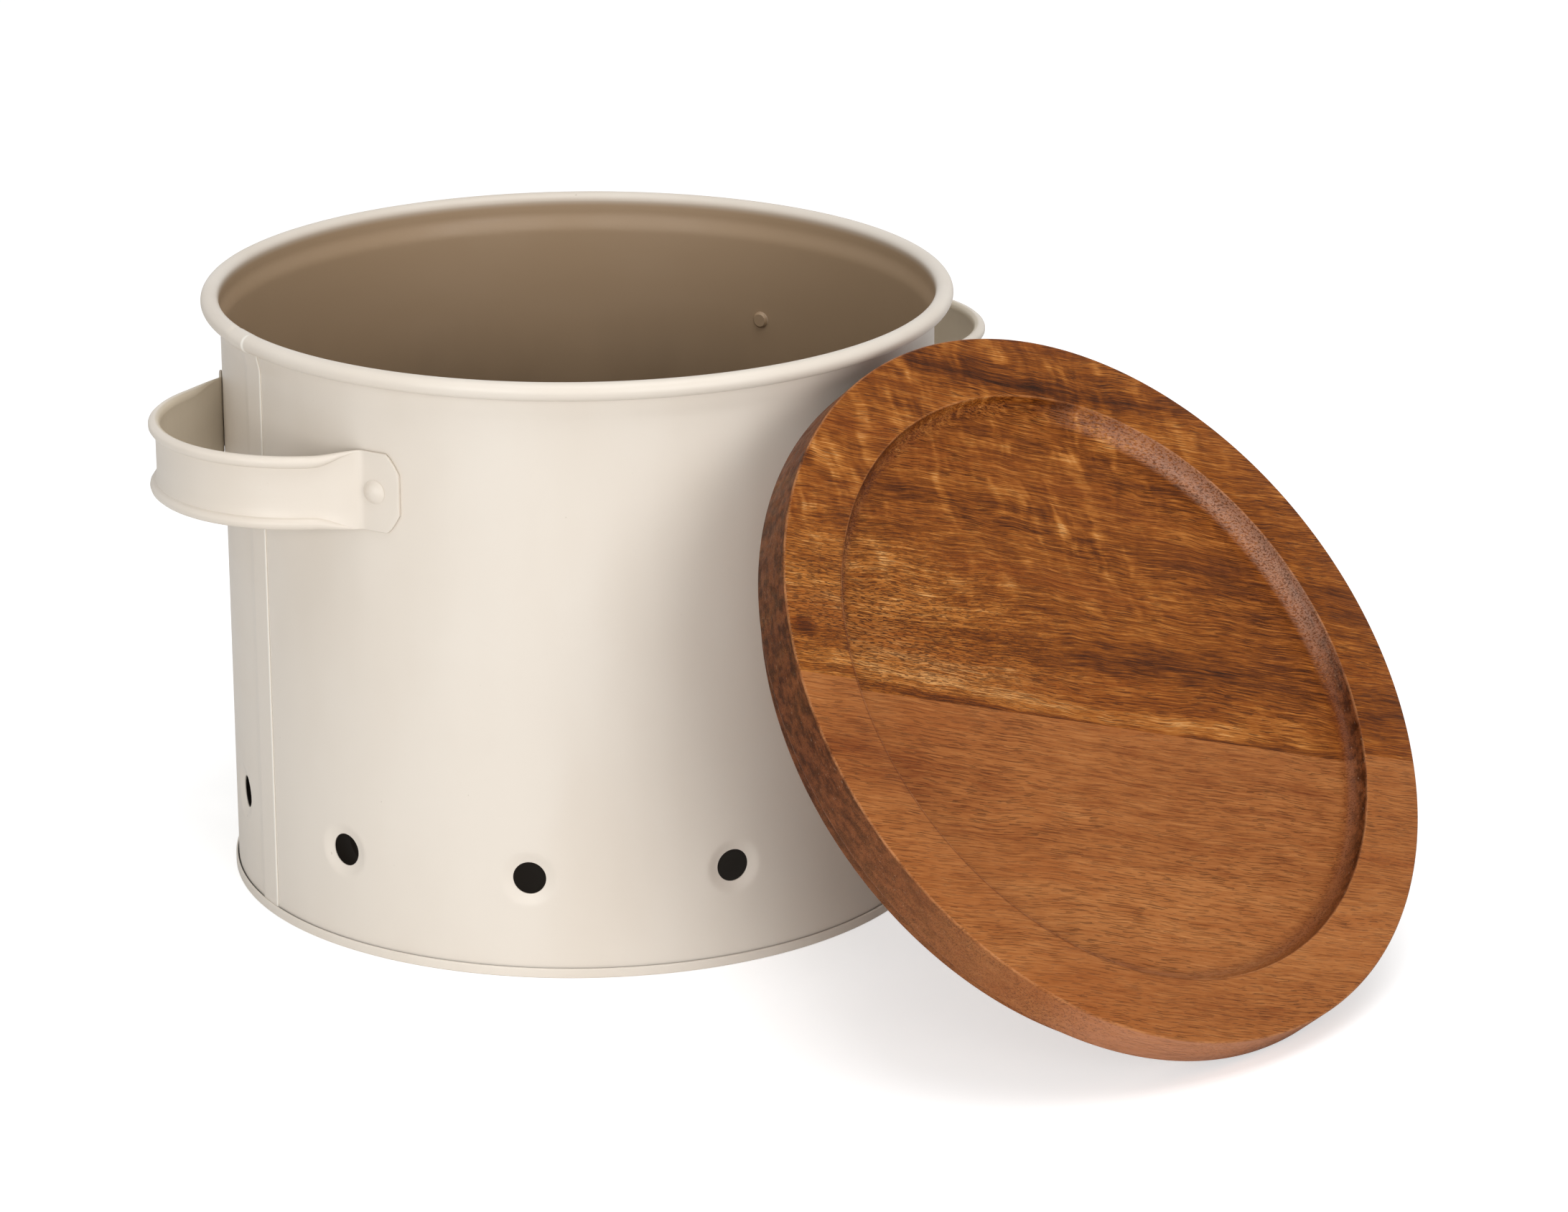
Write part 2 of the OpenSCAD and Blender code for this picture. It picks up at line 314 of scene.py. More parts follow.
def tone(red: int, green: int, blue: int) -> tuple[float, float, float, float]:
    """Turns a display colour, 0 to 255 a channel, into a shader colour.

    Args:
        red: Red channel.
        green: Green channel.
        blue: Blue channel.

    Returns:
        Linear red, green, blue and alpha, 0 to 1.
    """
    shares = [channel / 255.0 for channel in (red, green, blue)]
    linear = [s / 12.92 if s <= 0.04045 else ((s + 0.055) / 1.055) ** 2.4 for s in shares]
    return (*linear, 1.0)


class Shader:
    """Builds the nodes of one material, short call by short call."""

    def __init__(self, name: str) -> None:
        """Starts a material with one principled shader.

        Args:
            name: Name of the material.
        """
        self.material = bpy.data.materials.new(name)
        self.material.use_nodes = True
        self.tree = self.material.node_tree
        self.tree.nodes.clear()
        self.surface = self.tree.nodes.new("ShaderNodeBsdfPrincipled")
        output = self.tree.nodes.new("ShaderNodeOutputMaterial")
        self.tree.links.new(self.surface.outputs["BSDF"], output.inputs["Surface"])

    def feed(self, socket: Socket, value: object) -> None:
        """Links a socket to an input, or sets the input to a plain value.

        Args:
            socket: The input.
            value: The socket to link, or the plain value.
        """
        if isinstance(value, bpy.types.NodeSocket):
            self.tree.links.new(value, socket)
        else:
            socket.default_value = value

    def set(self, **inputs: object) -> None:
        """Sets inputs of the principled shader, with _ for the blanks in their names."""
        for name, value in inputs.items():
            self.feed(self.surface.inputs[name.replace("_", " ")], value)

    def object_place(self) -> Socket:
        """Place on the piece, in metres."""
        return self.tree.nodes.new("ShaderNodeTexCoord").outputs["Object"]

    def facing(self) -> Socket:
        """Direction that the surface faces."""
        return self.tree.nodes.new("ShaderNodeNewGeometry").outputs["Normal"]

    def mapped(self, place: Socket, matrix: Matrix) -> Socket:
        """Place seen in another frame.

        Args:
            place: The vector to map.
            matrix: Rotation, one scale and shift that take place to the new frame.

        Returns:
            The mapped vector.
        """
        node = self.tree.nodes.new("ShaderNodeMapping")
        scale = matrix.median_scale
        node.inputs["Scale"].default_value = (scale, scale, scale)
        node.inputs["Rotation"].default_value = matrix.to_euler("XYZ")
        node.inputs["Location"].default_value = matrix.translation
        self.feed(node.inputs["Vector"], place)
        return node.outputs["Vector"]

    def math(self, kind: str, first: object, second: object = 0.0) -> Socket:
        """One sum of two numbers.

        Args:
            kind: Blender's name of the sum.
            first: First socket or value.
            second: Second socket or value.

        Returns:
            The outcome.
        """
        node = self.tree.nodes.new("ShaderNodeMath")
        node.operation = kind
        self.feed(node.inputs[0], first)
        self.feed(node.inputs[1], second)
        return node.outputs[0]

    def vector(self, kind: str, first: object, second: object = (0, 0, 0)) -> Socket:
        """One sum of two vectors.

        Args:
            kind: Blender's name of the sum.
            first: First socket or value.
            second: Second socket or value.

        Returns:
            The outcome: a vector or a number.
        """
        node = self.tree.nodes.new("ShaderNodeVectorMath")
        node.operation = kind
        self.feed(node.inputs[0], first)
        self.feed(node.inputs[1], second)
        return node.outputs["Value" if kind in ("DOT_PRODUCT", "LENGTH") else "Vector"]

    def apart(self, vector: Socket) -> tuple[Socket, Socket, Socket]:
        """The three parts of a vector.

        Args:
            vector: The vector.

        Returns:
            Its X, Y and Z.
        """
        node = self.tree.nodes.new("ShaderNodeSeparateXYZ")
        self.feed(node.inputs[0], vector)
        return node.outputs[0], node.outputs[1], node.outputs[2]

    def joined(self, x: object, y: object, z: object) -> Socket:
        """A vector from its three parts.

        Args:
            x: First part.
            y: Second part.
            z: Third part.

        Returns:
            The vector.
        """
        node = self.tree.nodes.new("ShaderNodeCombineXYZ")
        for socket, value in zip(node.inputs, (x, y, z)):
            self.feed(socket, value)
        return node.outputs[0]

    def product(self, first: object, *others: object) -> Socket:
        """Product of several numbers."""
        return reduce(partial(self.math, "MULTIPLY"), others, first)

    def total(self, first: object, *others: object) -> Socket:
        """Sum of several numbers."""
        return reduce(partial(self.math, "ADD"), others, first)

    def flattened(self, vector: Socket) -> Socket:
        """A vector with its third part taken out."""
        x, y, _ = self.apart(vector)
        return self.joined(x, y, 0.0)

    def radius(self, place: Socket) -> Socket:
        """Distance of a place from the Z axis."""
        return self.vector("LENGTH", self.flattened(place))

    def outward(self, place: Socket) -> Socket:
        """Direction from the Z axis to a place."""
        return self.vector("NORMALIZE", self.flattened(place))

    def dot(self, first: Socket, second: object) -> Socket:
        """Dot product of two vectors."""
        return self.vector("DOT_PRODUCT", first, second)

    def wave(
        self, place: Socket, scale: Sequence[float], detail: float = 2.0, rough: float = 0.5
    ) -> Socket:
        """Soft noise from -0.5 to 0.5, with the arguments of noise."""
        return self.math("SUBTRACT", self.noise(place, scale, detail, rough), 0.5)

    def noise(
        self, place: Socket, scale: Sequence[float], detail: float = 2.0, rough: float = 0.5
    ) -> Socket:
        """Soft noise from 0 to 1.

        Args:
            place: Where the noise is read.
            scale: Waves for each unit of length along the three axes.
            detail: Number of finer layers.
            rough: Strength of the finer layers.

        Returns:
            The noise's value.
        """
        node = self.tree.nodes.new("ShaderNodeTexNoise")
        node.inputs["Scale"].default_value = 1.0
        node.inputs["Detail"].default_value = detail
        node.inputs["Roughness"].default_value = rough
        self.feed(node.inputs["Vector"], self.vector("MULTIPLY", place, tuple(scale)))
        return node.outputs["Fac"]

    def span(
        self, value: object, low: float, high: float, first: float = 0.0, last: float = 1.0
    ) -> Socket:
        """Takes low to first and high to last, smoothly and never beyond.

        Args:
            value: The number that is mapped.
            low: Value where the outcome is first.
            high: Value where the outcome is last.
            first: Outcome at low.
            last: Outcome at high.

        Returns:
            The outcome.
        """
        node = self.tree.nodes.new("ShaderNodeMapRange")
        node.interpolation_type = "SMOOTHSTEP"
        for name, number in (
            ("From Min", low),
            ("From Max", high),
            ("To Min", first),
            ("To Max", last),
        ):
            node.inputs[name].default_value = number
        self.feed(node.inputs["Value"], value)
        return node.outputs[0]

    def blend(self, share: object, first: object, second: object) -> Socket:
        """Mixes two colours by a share from 0 to 1.

        Args:
            share: Share of the second colour.
            first: First colour.
            second: Second colour.

        Returns:
            The mix.
        """
        node = self.tree.nodes.new("ShaderNodeMix")
        node.data_type = "RGBA"
        self.feed(node.inputs["Factor"], share)
        self.feed(node.inputs[6], first)
        self.feed(node.inputs[7], second)
        return node.outputs[2]

    def ramp(self, value: Socket, stops: Sequence[tuple[float, tuple]]) -> Socket:
        """Colours a value by stops, each a place from 0 to 1 and a colour.

        Args:
            value: The value, from 0 to 1.
            stops: Places and their colours, in rising order.

        Returns:
            The colour.
        """
        node = self.tree.nodes.new("ShaderNodeValToRGB")
        elements = node.color_ramp.elements
        while len(elements) < len(stops):
            elements.new(0.5)
        for element, (place, colour) in zip(elements, stops):
            element.position = place
            element.color = colour
        self.feed(node.inputs[0], value)
        return node.outputs[0]

    def bump(self, height: Socket, depth: float, below: Socket | None = None) -> Socket:
        """Turns a height from 0 to 1 into a bumped normal.

        Args:
            height: The height.
            depth: Depth that a height of 1 stands for, in metres.
            below: A normal that is already bumped, or None.

        Returns:
            The normal.
        """
        node = self.tree.nodes.new("ShaderNodeBump")
        node.inputs["Distance"].default_value = depth
        self.feed(node.inputs["Height"], height)
        if below is not None:
            self.feed(node.inputs["Normal"], below)
        return node.outputs[0]


@dataclass(frozen=True)
class Enamel:
    """Baked cream paint on rolled sheet: a satin skin with a faint orange peel.

    Attributes:
        name: Name of the material.
        colour: Body colour.
        shade: Colour of the duller, slightly dirtier patches.
        inside_shade: Painted shade inside the drum below the rim: a darker, warmer colour than
            the outside.
        deep_shade: Colour that the painted inside shade darkens to at the base.
        handle_shade: Painted shade on the faces that look towards the drum's axis, such as a
            handle's inner face.
        speck: Colour of the rare specks of dust under the paint.
        pale: Colour of the painted highlight along the lap's edge.
        lined: Whether the piece has an inside.
        seam: Azimuth of the lap, along whose edge a highlight is painted, or None.
        peel: Depth of the orange peel, in metres.
        roll: Depth of the soft upright waves left by rolling, in metres.
        rim_heights: Heights between which the painted inside shade takes over, in metres.
        deep_shade_heights: Heights between which the painted shade darkens towards the base.
        base_heights: Heights between which the base's top is left behind.
        base_radii: Radii between which the base's top ends.
        lap_highlight_widths: Distances from the lap's edge between which the painted highlight
            fades.
    """

    name: str
    colour: tuple = tone(221, 212, 200)
    shade: tuple = tone(210, 198, 183)
    # Painted shade inside the drum, darkest at the base.
    inside_shade: tuple = tone(168, 142, 113)
    deep_shade: tuple = tone(26, 20, 13)
    # Painted shade on a handle's inner face.
    handle_shade: tuple = tone(200, 188, 168)
    speck: tuple = tone(150, 134, 112)
    # Painted highlight along the lap's edge.
    pale: tuple = tone(240, 236, 227)
    lined: bool = False
    seam: float | None = None
    peel: float = 0.00002
    roll: float = 0.0
    rim_heights: tuple[float, float] = (0.2008, 0.1968)
    deep_shade_heights: tuple[float, float] = (0.165, 0.045)
    base_heights: tuple[float, float] = (0.012, 0.01)
    base_radii: tuple[float, float] = (0.1181, 0.1176)
    lap_highlight_widths: tuple[float, float] = (0.0008, 0.0002)

    def material(self) -> bpy.types.Material:
        """Builds the material.

        Returns:
            The material.
        """
        sh = Shader(self.name)
        place = sh.object_place()
        cloud = sh.span(sh.noise(place, (14, 14, 6), 3.0, 0.6), 0.35, 0.75)
        speck = sh.span(sh.noise(place, (520, 520, 520), 1.0, 0.4), 0.82, 0.86)
        skin = sh.blend(sh.product(cloud, 0.55), self.colour, self.shade)
        if self.lined:
            # Painted shade: the inside of the drum and the base's top turn darker and warmer,
            # darkest at the base.
            skin = sh.blend(self.inside(sh, place), skin, self.inside_shade_colour(sh, place))
        else:
            # Painted shade on faces that look towards the drum's axis.
            skin = sh.blend(self.turned_in(sh, place), skin, self.handle_shade)
        if self.seam is not None:
            # Painted highlight: a pale line along the lap's visible edge.
            skin = sh.blend(self.lap_highlight(sh, place, self.seam), skin, self.pale)
        skin = sh.blend(sh.product(speck, 0.35), skin, self.speck)
        wiped = sh.noise(place, (30, 30, 90))
        normal = sh.bump(sh.noise(place, (620, 620, 620), 2.0, 0.45), self.peel)
        if self.roll:
            normal = sh.bump(sh.noise(place, (34, 34, 1.4), 2.0, 0.4), self.roll, normal)
        sh.set(
            Base_Color=skin,
            Specular_IOR_Level=0.4,
            Roughness=sh.span(wiped, 0.3, 0.7, 0.36, 0.46),
            Normal=normal,
        )
        return sh.material

    def inside_shade_colour(self, sh: Shader, place: Socket) -> Socket:
        """Colour of the painted inside shade, which darkens towards the base.

        Args:
            sh: The material's nodes.
            place: Place on the piece.

        Returns:
            The colour.
        """
        uneven = sh.product(sh.wave(place, (26, 26, 12), 3.0, 0.6), 0.05)
        depth = sh.span(sh.total(sh.apart(place)[2], uneven), *self.deep_shade_heights)
        return sh.blend(depth, self.inside_shade, self.deep_shade)

    def inside(self, sh: Shader, place: Socket) -> Socket:
        """Share of the inside: what faces the axis below the rim, or the base's top.

        Args:
            sh: The material's nodes.
            place: Place on the piece.

        Returns:
            The share.
        """
        height = sh.apart(place)[2]
        wall = sh.product(self.turned_in(sh, place), sh.span(height, *self.rim_heights))
        base = sh.product(
            sh.span(sh.apart(sh.facing())[2], 0.3, 0.6),
            sh.span(sh.radius(place), *self.base_radii),
            sh.span(height, *self.base_heights),
        )
        return sh.math("MAXIMUM", wall, base)

    def turned_in(self, sh: Shader, place: Socket) -> Socket:
        """Share of a surface that faces the drum's axis."""
        return sh.span(sh.dot(sh.facing(), sh.outward(place)), 0.0, -0.4)

    def lap_highlight(self, sh: Shader, place: Socket, seam: float) -> Socket:
        """Share of the painted highlight along the lap's visible edge.

        Args:
            sh: The material's nodes.
            place: Place on the wall.
            seam: Azimuth of the lap, in degrees.

        Returns:
            The share.
        """
        azimuth = math.radians(seam)
        aside = (math.cos(azimuth), math.sin(azimuth), 0.0)
        outward = (math.sin(azimuth), -math.cos(azimuth), 0.0)
        away = sh.math("ABSOLUTE", sh.dot(place, aside))
        near = sh.span(away, *self.lap_highlight_widths, 0.0, 0.75)
        outer_face = sh.span(sh.dot(sh.facing(), outward), 0.0, 0.4)
        near_side = sh.span(sh.dot(place, outward), 0.0, 0.05)
        return sh.product(near, outer_face, near_side)


@dataclass(frozen=True)
class Cloud:
    """A soft elliptical patch of lighter or darker wood on the lid's face.

    Attributes:
        along: Place along the grain, in millimetres.
        across: Place across the grain.
        reach: Half length along the grain.
        width: Half width across the grain.
        lift: How much lighter it is, or darker below zero.
    """

    along: float
    across: float
    reach: float
    width: float
    lift: float


@dataclass(frozen=True)
class Acacia:
    """Oiled acacia of one board: its colours, its patches and how strong its figure is.

    Attributes:
        name: Name of the material.
        stops: Colours of the streaks, from the darkest to the lightest.
        clouds: Lighter and darker patches of the board.
        middle: Tone of the board between the stops, from 0 to 1.
        figure: Strength of the curly figure.
        streaks: Strength of the streaks.
        wander: How far the grain wanders sideways, in millimetres.
        pores: Strength of the pores.
        blush: Redder tone that drifts through the wood.
        crowded: Patch that is crowded with short pores.
    """

    name: str
    stops: tuple
    clouds: tuple[Cloud, ...]
    middle: float
    figure: float
    streaks: float
    wander: float
    pores: float
    blush: tuple
    crowded: Cloud


class BoardShader(Shader):
    """Wood of one board: streaks, curly figure, pores, end grain and wear, with painted shade
    and sheen in the cove and painted light from the floor on its side.

    Places are millimetres in the frame of the grain: X along the glue line, Y towards the
    upper board, Z up from the lid's top.
    """

    STREAKS = (
        ((0.004, 0.05, 0.05), 0.55),
        ((0.010, 0.16, 0.16), 0.5),
        ((0.035, 0.90, 0.90), 0.42),
        ((0.070, 2.20, 2.20), 0.85),
        ((0.200, 4.60, 4.60), 0.6),
    )
    PORE = tone(62, 28, 8)
    # Painted shade in the cove.
    COVE_SHADE = tone(92, 40, 6)
    # Painted sheen on the cove's upper right.
    COVE_SHEEN = tone(186, 142, 118)
    # Painted light from the floor on the lid's side.
    FLOOR_LIGHT = tone(190, 132, 99)
    WEAR = tone(188, 128, 82)
    END_DARK = tone(44, 19, 7)
    END_LIGHT = tone(108, 60, 33)
    END_DOT = tone(34, 15, 5)
    END_FLECK = tone(170, 140, 116)

    def __init__(self, wood: Acacia, lid: "Lid") -> None:
        """Starts the wood of a board.

        Args:
            wood: The board's colours and strengths.
            lid: The lid that the board is part of.
        """
        super().__init__(wood.name)
        self.wood = wood
        self.lid = lid
        to_grain = Matrix.Scale(1 / MM, 4) @ lid.grain_frame.inverted()
        self.place = self.mapped(self.object_place(), to_grain)
        self.along, self.across, self.depth = self.apart(self.place)
        self.reach = self.radius(self.place)
        self.cove = self.cove_share()
        self.grain = self.warped()
        self.shifted = self.apart(self.grain)[1]

    def build(self) -> bpy.types.Material:
        """Builds the material.

        Returns:
            The material.
        """
        pores = self.pore_share()
        blush = self.span(self.noise(self.grain, (0.008, 0.05, 0.05)), 0.45, 0.7, 0.0, 0.4)
        colour = self.ramp(self.level(), self.wood.stops)
        for share, tint in (
            (blush, self.wood.blush),
            (self.product(pores, self.wood.pores), self.PORE),
            # Painted shade in the cove and on its lower edge.
            (self.painted_cove_shade(), self.COVE_SHADE),
            (self.end_grain(), self.end_tone()),
            # Painted sheen on the cove's upper right.
            (self.painted_cove_sheen(), self.COVE_SHEEN),
            # Painted light from the floor on the lid's lower side.
            (self.painted_floor_light(), self.FLOOR_LIGHT),
            (self.worn_edge(), self.WEAR),
        ):
            colour = self.blend(share, colour, tint)
        matt = self.span(self.noise(self.place, (0.05, 0.3, 0.3)), 0.3, 0.7, 0.34, 0.46)
        self.set(
            Base_Color=colour,
            Specular_IOR_Level=0.09,
            Roughness=self.math("SUBTRACT", matt, self.burnish()),
            Normal=self.bump(self.math("SUBTRACT", 1.0, pores), 0.0002),
        )
        return self.material

    def level(self) -> Socket:
        """Tone of the wood, from 0 at its darkest colour to 1 at its lightest.

        Returns:
            The tone.
        """
        wood = self.wood
        parts = [
            self.product(self.wave(self.grain, scale, 1.0), weight * wood.streaks)
            for scale, weight in self.STREAKS
        ]
        mottle = self.wave(self.place, (0.08, 0.12, 0.12), 3.0, 0.7)
        parts.append(self.product(mottle, 0.45 * wood.streaks))
        parts += [self.patch(cloud) for cloud in wood.clouds]
        if wood.figure:
            parts.append(self.curl())
        return self.total(wood.middle, *parts)

    def warped(self) -> Socket:
        """Place along the wandering grain.

        Returns:
            The place, in millimetres.
        """
        wander = self.wood.wander
        drift = self.product(self.wave(self.place, (0.008, 0.016, 0.016), 1.0), wander * 3.0)
        waver = self.product(self.wave(self.place, (0.05, 0.05, 0.05)), wander * 0.8)
        return self.joined(self.along, self.total(self.across, drift, waver), self.depth)

    def pore_share(self) -> Socket:
        """Share of the pores: thin dark dashes, and short ones where they crowd.

        Returns:
            The share.
        """
        dashes = self.span(self.noise(self.grain, (0.14, 2.7, 2.7), 1.0), 0.585, 0.65)
        patches = self.span(self.noise(self.grain, (0.02, 0.07, 0.07)), 0.38, 0.62, 0.5, 1.0)
        short = self.span(self.noise(self.grain, (0.38, 2.7, 2.7), 1.0), 0.55, 0.61)
        crowded = self.product(short, self.patch(self.wood.crowded))
        return self.math("MAXIMUM", self.product(dashes, patches), crowded)

    def patch(self, cloud: Cloud) -> Socket:
        """How much one cloud lightens the wood.

        Args:
            cloud: The patch.

        Returns:
            The lift.
        """
        x = self.product(self.math("SUBTRACT", self.along, cloud.along), 1 / cloud.reach)
        y = self.product(self.math("SUBTRACT", self.shifted, cloud.across), 1 / cloud.width)
        away = self.vector("LENGTH", self.joined(x, y, 0.0))
        return self.span(away, 0.0, 1.5, cloud.lift, 0.0)

    def curl(self) -> Socket:
        """Curly figure: short bright flames that stand across the grain, high at the left.

        Returns:
            How much it lightens the wood.
        """
        bend = self.product(self.noise(self.place, (0.04, 0.05, 0.05)), 16.0)
        leaning = self.total(self.along, self.product(self.across, 0.1), bend)
        flames = self.joined(leaning, self.across, 0.0)
        bright = self.span(self.noise(flames, (0.13, 0.055, 1.0), 1.5), 0.47, 0.72, -0.12, 1.0)
        ripple = self.product(self.wave(flames, (0.36, 0.13, 1.0), 1.0, 0.4), 1.2)
        field = self.noise(self.place, (0.025, 0.03, 0.03))
        return self.product(
            self.total(bright, ripple),
            self.wood.figure,
            self.span(field, 0.35, 0.62, 0.25, 1.0),
            self.span(self.across, 8.0, 55.0),
            self.span(self.along, 80.0, 5.0, 0.15, 1.0),
        )

    def cove_share(self) -> Socket:
        """Share of the dish's cove.

        Returns:
            The share.
        """
        edge = self.lid.dish_radius
        foot = self.span(self.reach, edge - self.lid.dish_depth - 1.0, edge - 3.0)
        return self.product(foot, self.span(self.reach, edge + 0.6, edge))

    def side(
        self, angle: float, low: float, high: float, first: float, last: float
    ) -> Socket:
        """Share that changes towards one side of the lid.

        Args:
            angle: Where that side is from the glue line's direction, in degrees.
            low: Cosine of the angle away from it where the share is first.
            high: Cosine of the angle away from it where the share is last.
            first: Share far from that side.
            last: Share on that side.

        Returns:
            The share.
        """
        turn = math.radians(angle)
        direction = (math.cos(turn), math.sin(turn), 0.0)
        return self.span(self.dot(self.outward(self.place), direction), low, high, first, last)

    def off(self, radius: float) -> Socket:
        """Distance from a circle round the lid's axis."""
        return self.math("ABSOLUTE", self.math("SUBTRACT", self.reach, radius))

    def squarely(self, direction: Vector) -> Socket:
        """How squarely the surface faces along a direction of the grain's frame."""
        along = self.lid.grain_frame.to_3x3() @ direction
        return self.math("ABSOLUTE", self.dot(self.facing(), tuple(along)))

    def painted_cove_shade(self) -> Socket:
        """Share of the painted shade in the cove, and of a thin painted dark line along its
        lower edge.

        Returns:
            The share.
        """
        left = self.side(195.0, -0.1, 0.85, 0.0, 0.5)
        right = self.side(-22.0, 0.3, 0.95, 0.0, 0.6)
        lower = self.side(222.0, 0.1, 0.7, 0.0, 0.6)
        line = self.product(self.span(self.off(self.lid.dish_radius + 0.1), 1.0, 0.4), lower)
        return self.math("MAXIMUM", self.product(self.cove, self.total(left, right)), line)

    def painted_cove_sheen(self) -> Socket:
        """Share of the painted sheen on the cove's upper right, between its pores."""
        dots = self.span(self.noise(self.place, (0.9, 1.7, 1.7), 1.0), 0.5, 0.6, 1.0, 0.3)
        return self.product(self.cove, self.side(48.0, 0.7, 0.98, 0.0, 0.5), dots)

    def burnish(self) -> Socket:
        """How much smoother the cove is than the flats, most at its upper right."""
        return self.product(self.cove, self.side(55.0, 0.3, 0.97, 0.04, 0.14))

    def painted_floor_light(self) -> Socket:
        """Share of painted light from the floor: a paler, pinker tone round the lid's side,
        towards its lower end.

        Returns:
            The share.
        """
        plug = self.lid.plug_radius
        lower = self.span(self.across, -10.0, -110.0, 0.0, 0.12)
        lowest = self.span(self.across, -112.0, -124.0, 0.0, 0.6)
        return self.product(
            self.span(self.squarely(Vector((0, 0, 1))), 0.7, 0.3),
            self.span(self.depth, 0.0, -1.2),
            self.span(self.reach, plug - 4.0, plug - 2.0),
            self.total(lower, lowest),
            self.span(self.noise(self.place, (0.02, 0.8, 0.8)), 0.3, 0.7, 0.7, 1.0),
        )

    def end_grain(self) -> Socket:
        """Share of the dark end grain, where the surface is cut across the fibres."""
        return self.span(self.squarely(Vector((1, 0, 0))), 0.3, 0.98, 0.0, 0.85)

    def end_tone(self) -> Socket:
        """Colour of the end grain, mottled and dotted.

        Returns:
            The colour.
        """
        rings = self.span(self.noise(self.place, (0.08, 0.22, 0.5), 3.0, 0.6), 0.35, 0.65)
        dots = self.span(self.noise(self.place, (1.6, 2.6, 2.6), 1.0), 0.58, 0.68, 0.0, 0.6)
        flecks = self.span(self.noise(self.place, (1.1, 0.5, 2.2)), 0.66, 0.74, 0.0, 0.4)
        wood = self.blend(rings, self.END_DARK, self.END_LIGHT)
        return self.blend(flecks, self.blend(dots, wood, self.END_DOT), self.END_FLECK)

    def worn_edge(self) -> Socket:
        """Share of the pale wear on the lid's outer edge and the dish's edge.

        Returns:
            The share.
        """
        patchy = self.noise(self.place, (0.12, 0.12, 0.12), 3.0, 0.6)
        rim = self.product(
            self.span(self.reach, self.lid.radius - 0.7, self.lid.radius - 0.25),
            self.span(self.depth, -0.9, -0.4),
        )
        brink = self.product(
            self.span(self.off(self.lid.dish_radius + 0.2), 0.5, 0.1),
            self.span(self.depth, -0.9, -0.3),
            0.6,
        )
        rubbed = self.span(patchy, 0.35, 0.65, 0.05, 0.6)
        return self.product(self.math("MAXIMUM", rim, brink), rubbed)


